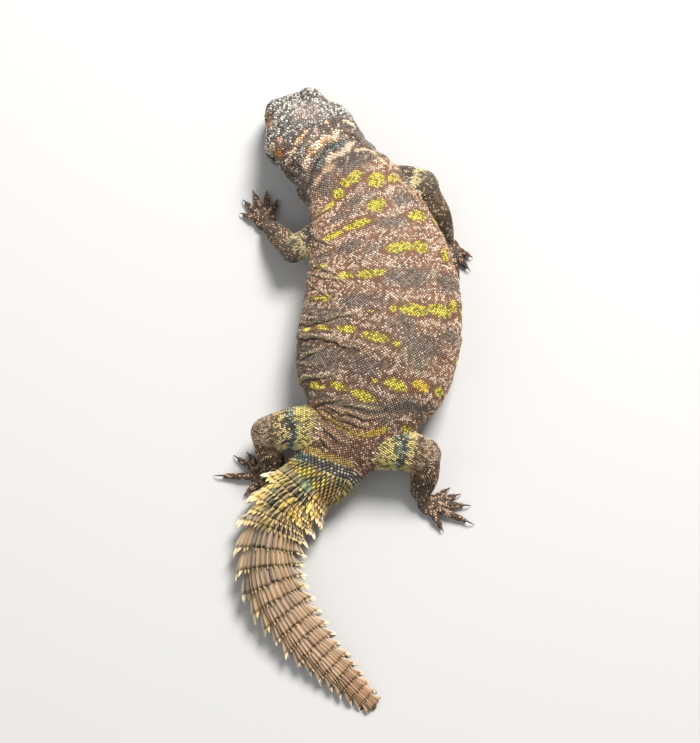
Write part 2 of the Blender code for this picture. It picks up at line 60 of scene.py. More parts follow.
# Head, in its own frame: x forwards from the nape, y to the left, z up
HEAD_LENGTH, HEAD_ROUNDING, HEAD_POWER = 20.2, 4.0, 2.5
HEAD_YAW, HEAD_PITCH, HEAD_ROLL = math.radians(30.5), math.radians(27.0), math.radians(11.0)
HEAD = {  # distance forwards: half width, top, bottom
    0.0: (10.0, 5.7, -5.7),
    3.4: (10.8, 6.3, -6.1),
    6.4: (10.8, 6.3, -6.2),
    9.6: (9.3, 5.6, -6.0),
    12.6: (7.6, 4.5, -5.6),
    15.6: (6.5, 3.9, -5.1),
    18.2: (5.8, 3.1, -4.6),
    20.2: (5.2, 2.3, -4.2),
}
BROW_AT, BROW_RADII = (12.0, 4.2, 3.0), (4.5, 3.1, 3.3)
EYE_AT, EYE_RADIUS, LID_RADIUS = (12.6, 4.6, 1.7), 2.1, 2.95
LID_OPENING = (1.85, 1.7, 1.15)
LID_AT = (EYE_AT[0], EYE_AT[1] + LID_RADIUS + 0.1, EYE_AT[2])  # middle of the opening between the lids
EAR_AT, EAR_RADII = (2.4, 10.9, 0.2), (0.95, 1.4, 2.4)
NOSTRIL_AT, NOSTRIL_RADIUS = (18.5, 3.4, 1.5), 0.5
MOUTH_LINE = ((8.8, -4.6), (9.8, -3.6), (11.0, -2.8), (13.5, -2.9), (17.5, -2.2), (24.0, -1.9))
MOUTH_CORNER = MOUTH_LINE[0][0]

# Limbs: the points each length follows, and the radius at each point
LIMBS = {
    "upper_arm_left": (((0.5, 40.0, 8.2), (-6.0, 37.0, 8.4), (-11.5, 34.0, 7.8)), (4.2, 3.6, 2.9)),
    "forearm_left": (((-11.5, 34.3, 7.6), (-14.2, 37.6, 5.6), (-17.0, 41.0, 2.9)), (2.7, 2.7, 1.9)),
    "upper_arm_right": (((8.5, 47.8, 8.6), (13.4, 50.0, 8.9), (18.6, 49.4, 8.6)), (4.3, 4.2, 4.0)),
    "forearm_right": (((19.4, 47.6, 8.0), (22.5, 43.4, 5.6), (24.4, 39.2, 2.9)), (3.4, 3.0, 2.0)),
    "thigh_left": (((-2.0, -8.4, 7.8), (-10.0, -7.7, 8.2), (-16.9, -8.9, 8.2)), (5.2, 4.7, 3.7)),
    "shank_left": (((-16.8, -9.4, 7.8), (-16.5, -13.0, 5.8), (-15.7, -16.6, 3.2)), (3.3, 3.0, 1.9)),
    "thigh_right": (((4.0, -11.2, 7.8), (11.8, -12.4, 8.2), (18.6, -13.8, 8.2)), (5.2, 4.7, 3.7)),
    "shank_right": (((18.6, -14.3, 7.9), (18.7, -18.2, 5.5), (17.9, -22.0, 2.9)), (3.3, 3.1, 2.0)),
}
CHAINS = (
    ("upper_arm_left", "forearm_left", "hand_left"),
    ("upper_arm_right", "forearm_right", "hand_right"),
    ("thigh_left", "shank_left", "foot_left"),
    ("thigh_right", "shank_right", "foot_right"),
)
# Hands and feet: palm centre, direction in degrees from +X, palm length and width, then each digit's spread
# from that direction in degrees and its length with the claw
PAWS = {
    "hand_left": ((-18.3, 43.4), 112.0, 5.6, 5.2, ((-58, 4.6), (-28, 6.2), (0, 6.8), (28, 6.2), (58, 4.8))),
    "hand_right": ((25.2, 36.6), -72.0, 5.6, 5.2, ((-58, 4.6), (-28, 6.0), (0, 6.4), (28, 5.8), (58, 4.4))),
    "foot_left": (
        (-18.2, -17.9), 160.0, 5.8, 5.0, ((-72, 4.2), (-44, 5.4), (-20, 6.8), (22, 9.6), (76, 4.6))
    ),
    "foot_right": ((20.0, -24.4), -12.0, 5.8, 5.0, ((-60, 5.2), (-14, 9.4), (14, 7.8), (38, 6.0), (62, 4.6))),
}
PALM_HEIGHT = 2.6
CLAW_START = 0.70  # share of a digit's length where its claw begins

# Tail rings, closer together towards the tip; the first ones with spines are rings of cones
WHORLS, WHORL_SHRINK = 20, 0.96
FIRST_RING, CONE_RINGS = 2, 3
# Large scales of the rings: shortening in front and behind; spine, keel and angle out of those on top; the
# spine's breadth at its foot and its growth to the sides; the tip's paleness and its growth to the sides
CONES = (0.42, 0.35, 1.55, 0.90, 40, 0.85, 0.0, 0.75, 0.25)
ROOFS = (0.0, 0.0, 0.80, 0.40, 24, 0.45, 0.22, 0.55, 0.45)
RING_INSET = 0.13  # share of its half width that the skin under the rings gives up to their flare

FLOOR_GAP = 0.12  # how far the skin stays above the floor, for the scales under it
SKIN_STEP = 0.55  # the skin's grid
COAT_DEPTH = 0.15  # how far the skin lies inside the solids
BLOCK = 4  # cells on a side of a block of the skin's grid

# Scales: space between rows and within a row on the trunk, then a scale's length, width and height
TRUNK_ROW, TRUNK_PITCH, TRUNK_SCALE, BELLY_SCALE_HEIGHT = 0.32, 0.62, (0.48, 0.47, 0.15), 0.09
TRUNK_PIECES = ((0.0, 30.0), (30.0, 45.0), (45.0, 59.0), (59.0, 83.0))  # stretches of the spine
LEG_PITCH, ARM_PITCH, PALM_PITCH = 0.58, 0.50, 0.62
CROWN_PITCH, FACE_PITCH, PLATE_REACH = 0.44, 0.37, 0.42  # plates of the head, and the widest that one reaches
PATCH_HALF = 0.0015  # half the width of one scale's patch in the map for baking

# The camera's tilt above the floor, its distance and the point it looks at, in millimetres, then its lens
VIEW_TILT, VIEW_DISTANCE, VIEW_AIM = math.radians(78.0), 350.0, (1.34, 3.53, 9.0)
VIEW_LENS, SENSOR = 74.6, 36.0


def smooth(at, knots, values):
    """A smooth curve through the values, whose slope at each knot comes from its neighbours."""
    knots, values = np.asarray(knots, float), np.asarray(values, float)
    slopes = np.gradient(values, knots, axis=0)
    span = np.clip(np.searchsorted(knots, at) - 1, 0, len(knots) - 2)
    width = knots[span + 1] - knots[span]
    t = (np.asarray(at) - knots[span]) / width
    if values.ndim > 1:
        t, width = t[..., None], width[..., None]
    low, high = values[span], values[span + 1]
    bend_low, bend_high = slopes[span] * width, slopes[span + 1] * width
    steep = high - low
    cubic = bend_low + bend_high - 2 * steep
    return low + t * (bend_low + t * (3 * steep - 2 * bend_low - bend_high + t * cubic))


def along(points):
    """Distance along a row of points."""
    return np.concatenate([[0.0], np.cumsum(np.linalg.norm(np.diff(points, axis=0), axis=1))])


def tail_sizes(share):
    """Height of the widest line, half width, rise and drop, at a share of the tail's length."""
    half = TAIL_TIP_HALF + (TAIL_ROOT_HALF - TAIL_TIP_HALF) * (1 - share**TAIL_TAPER)
    drop = TAIL_DROP * half
    return np.stack([drop - BELLY_FLAT, half, TAIL_RISE * half, drop], axis=-1)


def turned(heading, pitch, roll):
    """Forward, left and up for level headings lowered by pitch, with the left side raised by roll."""
    zero, one = np.zeros(len(heading)), np.ones(len(heading))
    level = np.column_stack([heading, zero])
    left = np.column_stack([-heading[:, 1], heading[:, 0], zero])
    up = np.column_stack([zero, zero, one])
    cos_p, sin_p = np.cos(pitch)[:, None], np.sin(pitch)[:, None]
    cos_r, sin_r = np.cos(roll)[:, None], np.sin(roll)[:, None]
    forward = level * cos_p - up * sin_p
    up = up * cos_p + level * sin_p
    return forward, left * cos_r + up * sin_r, up * cos_r - left * sin_r


TRUNK_ROWS, TAIL_POINTS = np.array(TRUNK), np.array(TAIL_ROUTE)
ROUTE = np.vstack([TRUNK_ROWS[:, :2], TAIL_POINTS])
STATIONS = along(ROUTE)
TAIL_START, BODY_END = STATIONS[len(TRUNK_ROWS)], STATIONS[-1]
SIZES = np.vstack([TRUNK_ROWS[:, 2:], tail_sizes(along(TAIL_POINTS) / (BODY_END - TAIL_START))])


def spine_frame(at):
    """Centre, forward, left and up of the body at distances along the spine; the neck turns with the head."""
    centre = np.column_stack([smooth(at, STATIONS, ROUTE), smooth(at, STATIONS, SIZES[:, 0])])
    ahead = smooth(np.clip(at - 0.2, 0, BODY_END), STATIONS, ROUTE)
    behind = smooth(np.clip(at + 0.2, 0, BODY_END), STATIONS, ROUTE)
    heading = (ahead - behind) / np.linalg.norm(ahead - behind, axis=1)[:, None]
    hold = np.clip(1 - at / NECK_END, 0, 1)
    hold = hold * hold * (3 - 2 * hold)
    head_heading = np.array([-math.sin(HEAD_YAW), math.cos(HEAD_YAW)])
    heading = heading * (1 - hold[:, None]) + head_heading * hold[:, None]
    heading /= np.linalg.norm(heading, axis=1)[:, None]
    return centre, *turned(heading, HEAD_PITCH * hold, HEAD_ROLL * hold)


AT = np.arange(0.0, BODY_END, SPINE_STEP)
CENTRE, FORWARD, LEFT, UP = spine_frame(AT)
GIRTH = smooth(AT, STATIONS, SIZES[:, 1:])
# The rings' sides flare, so their fronts start further in than the solids' sides
GIRTH[:, 0] *= 1 - RING_INSET * np.clip((AT - 84.0) / 12.0, 0, 1)
NAPE, HEAD_AXES = CENTRE[0], np.column_stack([FORWARD[0], LEFT[0], UP[0]])


def read_rows(rows, *tables):
    """Tables of the spine read between their rows."""
    rows = np.clip(rows, 0, len(AT) - 1.001)
    low = rows.astype(int)
    t = (rows - low)[..., None]
    return [table[low] * (1 - t) + table[low + 1] * t for table in tables]


def bump(value, middle, width):
    """1 at the middle, falling smoothly to nothing over about twice the width."""
    return np.exp(-(((value - middle) / width) ** 2))


def dot(a, b):
    """Products of vectors, row by row."""
    return np.einsum("...i,...i->...", a, b)


def unit(v):
    """Vectors brought to length 1."""
    return v / np.maximum(np.linalg.norm(v, axis=-1, keepdims=True), 1e-9)


def body_place(points):
    """Distance along the spine, offsets left and up, distance past its ends, and the girth there."""
    parts = np.array_split(points, len(points) // 20000 + 1)
    square = dot(CENTRE, CENTRE)
    near = np.concatenate([np.argmin(square - 2 * part @ CENTRE.T, axis=1) for part in parts])
    rows = near - dot(points - CENTRE[near], FORWARD[near]) / SPINE_STEP
    centre, forward, left, up, girth = read_rows(rows, CENTRE, FORWARD, LEFT, UP, GIRTH)
    offset = points - centre
    outside = (rows <= 0) | (rows >= len(AT) - 1.001)
    past = np.where(outside, -dot(offset, forward), 0.0)
    return np.clip(rows, 0, len(AT) - 1) * SPINE_STEP, dot(offset, left), dot(offset, up), past, girth


def girth_offset(left, up, girth):
    """Distance round the body from the middle of the back, in mm, positive to the left."""
    half, rise, drop = girth.T
    angle = np.arctan2(up / np.where(up > 0, rise, drop), np.abs(left) / half)
    round_by = np.where(up > 0, (math.pi / 2 - angle) * (half + rise) / 2, math.pi / 4 * (half + rise))
    round_by += np.where(up > 0, 0.0, -angle * (half + drop) / 2)
    return np.copysign(round_by, left)


def body_surface(at, around, lift):
    """Points on the body at distances along the spine, round from the middle of the back, and above it."""
    centre, left, up, girth = read_rows(at / SPINE_STEP, CENTRE, LEFT, UP, GIRTH)
    half, rise, drop = np.moveaxis(girth, -1, 0)
    side = math.pi / 4 * (half + rise)
    upper = np.abs(around) < side
    angle = np.where(
        upper, math.pi / 2 - np.abs(around) * 2 / (half + rise), -(np.abs(around) - side) * 2 / (half + drop)
    )
    angle = np.maximum(angle, -math.pi / 2)
    across = np.abs(np.cos(angle)) ** (2 / BODY_POWER) * np.sign(around)
    high = np.sign(np.sin(angle)) * np.abs(np.sin(angle)) ** (2 / BODY_POWER)
    tall = np.where(upper, rise, drop)
    return centre + left * ((half + lift) * across)[..., None] + up * ((tall + lift) * high)[..., None]


def lower_of(a, b, blend):
    """The lower of two fields, rounded where they lie within blend of each other."""
    near = np.maximum(blend - np.abs(a - b), 0.0) / blend
    return np.minimum(a, b) - near * near * blend / 4


def higher_of(a, b, blend):
    """The higher of two fields, rounded in the same way."""
    return -lower_of(-a, -b, blend)


def ray_distance(offset, ratio):
    """Distance from a star-shaped surface along the ray from its middle, where ratio is 1 on the surface."""
    reach = np.linalg.norm(offset, axis=-1)
    return reach * (1 - 1 / np.maximum(ratio, 0.05))


def ellipsoid(points, centre, radii):
    """Distance from an ellipsoid, along rays from its middle."""
    offset = points - np.asarray(centre)
    return ray_distance(offset, np.linalg.norm(offset / np.asarray(radii), axis=-1))


# Loose folds of skin: points on the body as distance along the spine and offset round it, then depth. Each
# stands up as a ridge on the side towards the head and sinks on the side towards the tail
FOLDS = (
    (((12.4, 13.4), (13.1, 11.2), (14.1, 8.5), (15.2, 6.0)), 0.42),
    (((19.0, 18.2), (21.1, 14.2), (24.0, 10.8), (26.4, 8.0)), 0.60),
    (((26.0, 22.0), (28.7, 17.2), (33.7, 10.4), (38.5, 7.0)), 0.50),
    (((29.4, 22.6), (32.2, 17.0), (36.2, 10.5), (39.1, 5.1)), 0.42),
    (((33.4, 22.0), (35.6, 17.4), (40.1, 12.2), (43.4, 9.6)), 0.45),
    (((49.8, 25.0), (49.5, 18.6), (49.7, 15.7), (48.9, 11.3), (47.3, 8.6), (46.6, 5.9), (45.6, 3.6)), 0.80),
    (
        (
            (53.2, 25.6), (54.0, 19.0), (54.1, 15.3), (54.2, 10.6), (54.6, 7.0), (54.5, 3.9), (55.4, 2.2),
            (56.0, 0.1),
        ),
        0.85,
    ),
    (((64.9, 24.4), (64.5, 19.0), (63.9, 14.5), (62.4, 8.5), (60.7, 4.3)), 0.72),
    (((71.4, 11.6), (70.2, 9.2), (68.5, 6.6), (67.1, 4.5), (65.6, 2.0)), 0.65),
    (((59.2, 15.4), (58.1, 12.5), (56.0, 9.6)), 0.45),
    (((52.4, 12.0), (52.2, 9.9), (51.8, 7.7)), 0.36),
    (((70.9, 7.9), (72.0, 4.8), (72.2, 1.6), (72.0, -1.8)), 0.50),
    (((70.3, 7.1), (70.7, 3.6), (70.7, 0.1), (69.5, -3.6)), 0.45),
    (((72.7, 7.0), (74.5, 4.4), (74.8, 1.7), (74.4, -1.4)), 0.50),
    (((75.0, 6.0), (77.0, 4.0), (77.5, 1.7), (77.2, -1.0)), 0.45),
    (((69.3, 6.0), (69.1, 2.2), (68.5, -1.7), (66.5, -5.5)), 0.42),
    (((68.1, 4.1), (66.9, -0.2), (65.6, -4.1)), 0.30),
    (((29.0, -26.0), (30.4, -22.0), (30.8, -18.0)), 0.40),
    (((46.6, -26.0), (46.4, -22.0), (47.4, -18.0)), 0.45),
    (((61.4, -25.0), (60.6, -21.0), (61.8, -16.0)), 0.45),
    (((67.6, -16.0), (69.4, -12.0), (70.4, -9.0)), 0.40),
)


# Creases of the neck, given in the head's frame as distance backwards and distance left
NECK_FOLDS = (
    (((7.0, 6.5), (6.1, 5.1), (5.4, 3.3), (4.7, 0.3), (4.5, -2.4), (4.0, -5.2), (3.4, -8.0)), 0.50),
    (((3.0, -5.7), (3.6, -7.9), (5.3, -8.7), (6.8, -9.6)), 0.50),
    (((4.4, 6.5), (3.2, 5.6), (2.6, 4.0), (2.1, 1.6), (1.4, 0.2)), 0.40),
    (((10.0, 8.4), (9.4, 6.4), (9.2, 4.0)), 0.35),
    (((10.4, -7.0), (9.0, -9.0), (9.4, -12.0)), 0.40),
)
# Tables over the unrolled body and neck: their cells' size, their low and high corners, and what each holds
MAP_STEP = 0.1
BODY_MAP, NECK_MAP = ((0.0, -34.0), (84.0, 34.0)), ((-3.0, -14.0), (16.0, 14.0))
# The ridge's table holds a painted highlight and the groove's a painted shade
RELIEF, PAINTED_RIDGE_LIGHT, PAINTED_GROOVE_SHADE = range(3)
FOLDS_END = 83.5  # the body's folds end here


def segment_distance(at, around, start, end):
    """Signed distance from a straight line on the unrolled body, and how far along that line, from 0 to 1."""
    (s0, w0), (s1, w1) = start, end
    length = math.hypot(s1 - s0, w1 - w0)
    share = ((at - s0) * (s1 - s0) + (around - w0) * (w1 - w0)) / length**2
    side = ((at - s0) * (w1 - w0) - (around - w0) * (s1 - s0)) / length
    return side, share


def line_place(at, around, line):
    """Signed distance from a bent line on the unrolled body, and how far along it, from 0 to 1."""
    travelled = along(np.array(line))
    least, signed, share_of = np.full(at.shape, np.inf), np.zeros(at.shape), np.zeros(at.shape)
    for number, (start, end) in enumerate(zip(line[:-1], line[1:])):
        side, share = segment_distance(at, around, start, end)
        length = travelled[number + 1] - travelled[number]
        held = np.clip(share, 0, 1)
        gap = np.hypot(side, (share - held) * length)
        nearer = gap < least
        least = np.where(nearer, gap, least)
        signed = np.where(nearer, np.copysign(gap, side), signed)
        share_of = np.where(nearer, (travelled[number] + held * length) / travelled[-1], share_of)
    return signed, share_of


def fold_tables(folds, box):
    """Tables of a fold's relief, painted ridge highlight and painted groove shade, over the unrolled body."""
    (low_s, low_w), (high_s, high_w) = box
    rows, columns = np.arange(low_s, high_s, MAP_STEP), np.arange(low_w, high_w, MAP_STEP)
    at, around = np.meshgrid(rows, columns, indexing="ij")
    flat = np.column_stack([at.ravel(), around.ravel(), np.zeros(at.size)])
    wander = 0.9 * (clouds(flat, 2.6, 101) - 0.5) + 0.4 * (clouds(flat, 1.1, 103) - 0.5)
    bent = at + wander.reshape(at.shape)
    relief, ridge, groove = np.zeros((3, *at.shape))
    for line, depth in folds:
        signed, share = line_place(bent, around, line)
        fade = np.clip((1.03 - share) / 0.4, 0.1, 1) * np.clip((share + 0.2) / 0.3, 0, 1)
        # A broad swell towards the head, a narrow lip on the line and a narrow dip behind it
        swell = bump(signed, 1.5, 1.3) * (signed > -0.6)
        lip, dip = bump(signed, 0.30, 0.36), bump(signed, -0.36, 0.36)
        relief += depth * fade * (0.30 * swell + 0.75 * lip - 0.75 * dip)
        # Painted highlight along the ridge and painted shade in the groove
        ridge = np.maximum(ridge, fade**0.5 * bump(signed, 0.24, 0.30))
        groove = np.maximum(groove, fade * bump(signed, -0.26, 0.24) * min(1.0, depth * 1.8))
    return relief, ridge, groove


def read_map(table, box, at, around):
    """A table over the unrolled body read between its cells."""
    row = np.clip((at - box[0][0]) / MAP_STEP, 0, table.shape[0] - 1.001)
    column = np.clip((around - box[0][1]) / MAP_STEP, 0, table.shape[1] - 1.001)
    i, j = row.astype(int), column.astype(int)
    t, u = row - i, column - j
    low = table[i, j] * (1 - u) + table[i, j + 1] * u
    high = table[i + 1, j] * (1 - u) + table[i + 1, j + 1] * u
    return low * (1 - t) + high * t


def body_fold(kind, at, around):
    """A fold table of the body read at places on it; there are no folds past the hips."""
    return read_map(FOLD_TABLES[kind], BODY_MAP, at, around) * (at < FOLDS_END)


def neck_share(points):
    """The head's frame at points, and how far each lies on the upper side of the neck, from 0 to 1."""
    q = to_head(points)
    return q, np.clip((q[:, 2] + 5.0) / 3.0, 0, 1) * np.clip((q[:, 0] + 15.0) / 3.0, 0, 1) * (q[:, 0] < 2.9)


def fold_relief(points, at, around, half):
    """How far the skin stands out: folds of the neck's sides, loose folds, creases, soft flank wrinkles."""
    wide = np.abs(around) / np.maximum(half, 1.0)
    neck = np.clip((15.0 - at) / 3, 0, 1) * np.clip(at / 2, 0, 1) * np.clip(wide / 1.2, 0, 1) ** 3
    relief = 0.40 * neck * np.sin(2 * math.pi * (at - 1.0) / 4.6) + body_fold(RELIEF, at, around)
    q, share = neck_share(points)
    relief += share * read_map(NECK_TABLES[RELIEF], NECK_MAP, -q[:, 0], q[:, 1])
    return relief + flank_wrinkles(at, around)


def flank_wrinkles(at, around):
    """Soft wrinkles that run down the flanks: the distance of a stretched noise from its middle."""
    reach = np.clip((np.abs(around + 1.5) - 6.5) / 6.0, 0, 1)
    reach = reach * np.clip((at - 12.0) / 6.0, 0, 1) * np.clip((79.0 - at) / 5.0, 0, 1)
    wrinkle = clouds(np.column_stack([at / 1.05 + 0.10 * around, around / 5.0, np.zeros(len(at))]), 1.0, 107)
    return 0.42 * reach * (np.abs(2 * wrinkle - 1) - 0.4)


def body_field(points):
    """Distance from the trunk and tail, with their folds."""
    at, left, up, past, girth = body_place(points)
    half, rise, drop = girth.T
    tall = np.where(up > 0, rise, drop)
    ratio = ((np.abs(left) / half) ** BODY_POWER + (np.abs(up) / tall) ** BODY_POWER) ** (1 / BODY_POWER)
    ratio = np.hypot(ratio, past / half)
    distance = ray_distance(np.column_stack([left, up, past]), ratio)
    return distance + COAT_DEPTH - fold_relief(points, at, girth_offset(left, up, girth), half)


def to_head(points):
    """Points in the head's frame."""
    return (points - NAPE) @ HEAD_AXES


def from_head(points):
    """Points of the head's frame, back on the animal."""
    return points @ HEAD_AXES.T + NAPE


def head_sizes(forward):
    """Half width, top and bottom of the head at distances forwards."""
    return smooth(np.clip(forward, 0, HEAD_LENGTH), list(HEAD), list(HEAD.values())).T


def one_sided(q):
    """Places in the head's frame with its left and right as one."""
    return np.column_stack([q[:, 0], np.abs(q[:, 1]), q[:, 2]])


def face_gaps(side):
    """Distances from the opening of the lids, the ear, the nostril and the line of the mouth."""
    line_x, line_z = np.array(MOUTH_LINE).T
    mouth = np.abs(side[:, 2] - np.interp(side[:, 0], line_x, line_z)) + 9 * (side[:, 0] < MOUTH_CORNER)
    ear, nostril = ellipsoid(side, EAR_AT, EAR_RADII), ellipsoid(side, NOSTRIL_AT, [NOSTRIL_RADIUS] * 3)
    return ellipsoid(side, LID_AT, LID_OPENING), ear, nostril, mouth


def head_field(points):
    """Distance from the head: a rounded loft with brows, lids, sockets, ears, nostrils and a mouth's line."""
    side = one_sided(to_head(points))
    x, y, z = side.T
    half, top, bottom = head_sizes(x)
    past = np.maximum(x - (HEAD_LENGTH - HEAD_ROUNDING), 0) / HEAD_ROUNDING
    past = np.where(x < 0, -x / 6.0, past)
    middle = (top + bottom) / 2 * np.clip(np.where(x > 0, past, 0), 0, 1)
    tall = np.where(z > middle, top - middle, middle - bottom)
    ratio = ((y / half) ** HEAD_POWER + (np.abs(z - middle) / tall) ** HEAD_POWER) ** (1 / HEAD_POWER)
    field = ray_distance(np.column_stack([past * HEAD_ROUNDING, y, z - middle]), np.hypot(ratio, past))
    field = lower_of(field, ellipsoid(side, BROW_AT, BROW_RADII), 1.2)
    field = lower_of(field, ellipsoid(side, EYE_AT, [LID_RADIUS] * 3), 0.7)
    opening, ear, nostril, mouth = face_gaps(side)
    field -= 0.22 * bump(opening, 0.3, 0.28)
    # Soft wrinkles ring the lids
    field += 0.05 * np.sin(opening * 2 * math.pi / 0.75) * np.clip(1 - opening / 2.6, 0, 1) * (opening > 0.4)
    field = higher_of(field, -opening, 0.2)
    field = higher_of(field, -ear, 0.5)
    field -= 0.16 * bump(nostril, 0.25, 0.3)
    field = higher_of(field, -nostril, 0.15)
    shown = np.clip((x - MOUTH_CORNER) / 1.5, 0, 1)
    field += shown * (0.34 * bump(mouth, 0, 0.17) - 0.14 * bump(mouth, 0.62, 0.36))
    # The jaw muscle swells behind the corner of the mouth
    field -= 0.7 * bump(x, 5.4, 3.2) * bump(y, 9.6, 2.6) * bump(z, -2.2, 2.6)
    return field + COAT_DEPTH


def chain_field(points, line, radii):
    """Distance from a tube that follows a line of points with a radius at each."""
    least = np.full(len(points), np.inf)
    for a, b, ra, rb in zip(line[:-1], line[1:], radii[:-1], radii[1:]):
        share = np.clip((points - a) @ (b - a) / dot(b - a, b - a), 0, 1)
        gap = np.linalg.norm(points - a - share[:, None] * (b - a), axis=1)
        least = np.minimum(least, gap - ra - share * (rb - ra))
    return least


def limb_line(name, count=12):
    """The line and radii of a limb length, read from its three points."""
    points, radii = LIMBS[name]
    knots = along(np.array(points))
    at = np.linspace(0, knots[-1], count)
    return smooth(at, knots, points), smooth(at, knots, radii) - COAT_DEPTH


def paw_axes(name):
    """Palm centre, the direction that the digits point in, and the direction across them."""
    (x, y), pointing = PAWS[name][:2]
    turn = math.radians(pointing)
    ahead = np.array([math.cos(turn), math.sin(turn), 0.0])
    return np.array([x, y, 0.0]), ahead, np.array([-ahead[1], ahead[0], 0.0])


def digit_line(name, spread_by, reach):
    """Root and level direction of a digit, then its line of knuckles with a radius at each."""
    centre, ahead, side = paw_axes(name)
    length, width = PAWS[name][2:4]
    angle = math.radians(spread_by)
    root = centre + ahead * length * 0.32 * math.cos(angle) + side * width * 0.36 * math.sin(angle)
    way = ahead * math.cos(angle * 0.8) + side * math.sin(angle * 0.8)
    share = np.array([0.0, 0.16, 0.3, 0.44, 0.58, CLAW_START + 0.03])
    height = np.array([1.15, 1.42, 1.38, 1.12, 0.86, 0.74])
    radius = np.array([0.82, 0.72, 0.74, 0.62, 0.62, 0.44])
    line = root + way * (share * reach)[:, None]
    line[:, 2] = height
    return root, way, line, radius


def palm_field(points, name):
    """Distance from a low, rounded palm."""
    centre, ahead, side = paw_axes(name)
    length, width = PAWS[name][2:4]
    offset = points - centre - np.array([0.0, 0.0, PALM_HEIGHT * 0.4])
    local = np.column_stack([offset @ ahead, offset @ side, offset[:, 2]])
    tall = np.where(local[:, 2] > 0, PALM_HEIGHT * 0.6, PALM_HEIGHT * 0.45)
    radii = np.column_stack([np.full(len(points), length / 2), np.full(len(points), width / 2), tall])
    return ray_distance(local, np.linalg.norm(local / radii, axis=1)) + COAT_DEPTH / 2


def paw_field(points, paw, blend):
    """Distance from a palm and its digits, rounded where they meet by blend."""
    field = palm_field(points, paw)
    for digit in PAWS[paw][4]:
        _, _, line, radii = digit_line(paw, *digit)
        field = lower_of(field, chain_field(points, line, radii), blend)
    return field


def near_box(points, corners, reach, field):
    """The field within reach of the box round some corners, and a distance of reach elsewhere."""
    low, high = np.min(corners, axis=0) - reach, np.max(corners, axis=0) + reach
    inside = np.all((points > low) & (points < high), axis=1)
    result = np.full(len(points), reach)
    if inside.any():
        result[inside] = field(points[inside])
    return result


LINES = {name: limb_line(name) for name in LIMBS}
HEAD_CORNERS = from_head(np.array([(x, y, z) for x in (-4, 21) for y in (-12, 12) for z in (-7, 7)], float))


def length_field(points, name, reach):
    """Distance from one length of a limb, held at reach outside the box round it."""
    line, radii = LINES[name]
    return near_box(points, line, reach, lambda p: chain_field(p, line, radii))


def limb_field(points, chain):
    """Distances from a limb's upper length, and from the whole limb down to the digits."""
    upper, lower = length_field(points, chain[0], 7.5), length_field(points, chain[1], 6.0)
    paw = chain[2]
    palm = paw_axes(paw)[0][None]
    corners = np.vstack([digit_line(paw, *digit)[2] for digit in PAWS[paw][4]] + [palm - 3, palm + 3])
    hand = near_box(points, corners, 3.0, lambda p: paw_field(p, paw, 0.45))
    return upper, lower_of(lower_of(upper, lower, 1.0), hand, 1.0)


def skin_field(points):
    """Distance from the whole skin: upper limbs melt into it, lower ones touch it, the floor flattens it."""
    field = lower_of(body_field(points), near_box(points, HEAD_CORNERS, 4.0, head_field), 1.6)
    for chain in CHAINS:
        upper, limb = limb_field(points, chain)
        field = np.minimum(lower_of(field, upper, 2.0), limb)
    return higher_of(field, FLOOR_GAP - points[:, 2], 0.2)


CORNERS = np.array([(1, -1, -1), (-1, -1, 1), (-1, 1, -1), (1, 1, 1)], float)


def field_and_slope(points, step=0.04):
    """The field and its slope, from the four corners of a small tetrahedron round each point."""
    values = skin_field((points[None] + step * CORNERS[:, None]).reshape(-1, 3)).reshape(4, -1)
    return values.mean(axis=0), np.einsum("kn,kd->nd", values, CORNERS) / (4 * step)


def onto_skin(points, rounds=2):
    """Points moved onto the skin down the field's slope, the way outwards, and how far they went."""
    start = points
    for _ in range(rounds):
        value, slope = field_and_slope(points)
        points = points - slope * (value / np.maximum(dot(slope, slope), 0.2))[:, None]
    return points, unit(field_and_slope(points)[1]), np.linalg.norm(points - start, axis=1)


def block_values(low, counts, step):
    """The field on a grid, worked out at every node only in blocks of cells that lie near the skin."""
    blocks = [low[a] + step * BLOCK * (np.arange(counts[a]) + 0.5) for a in range(3)]
    middles = np.stack(np.meshgrid(*blocks, indexing="ij"), axis=-1).reshape(-1, 3)
    coarse = skin_field(middles).reshape(counts)
    values = coarse.repeat(BLOCK, 0).repeat(BLOCK, 1).repeat(BLOCK, 2)
    near = np.abs(values) < 1.7 * BLOCK * step
    index = np.argwhere(near)
    values[near] = skin_field(low + step * index)
    return values


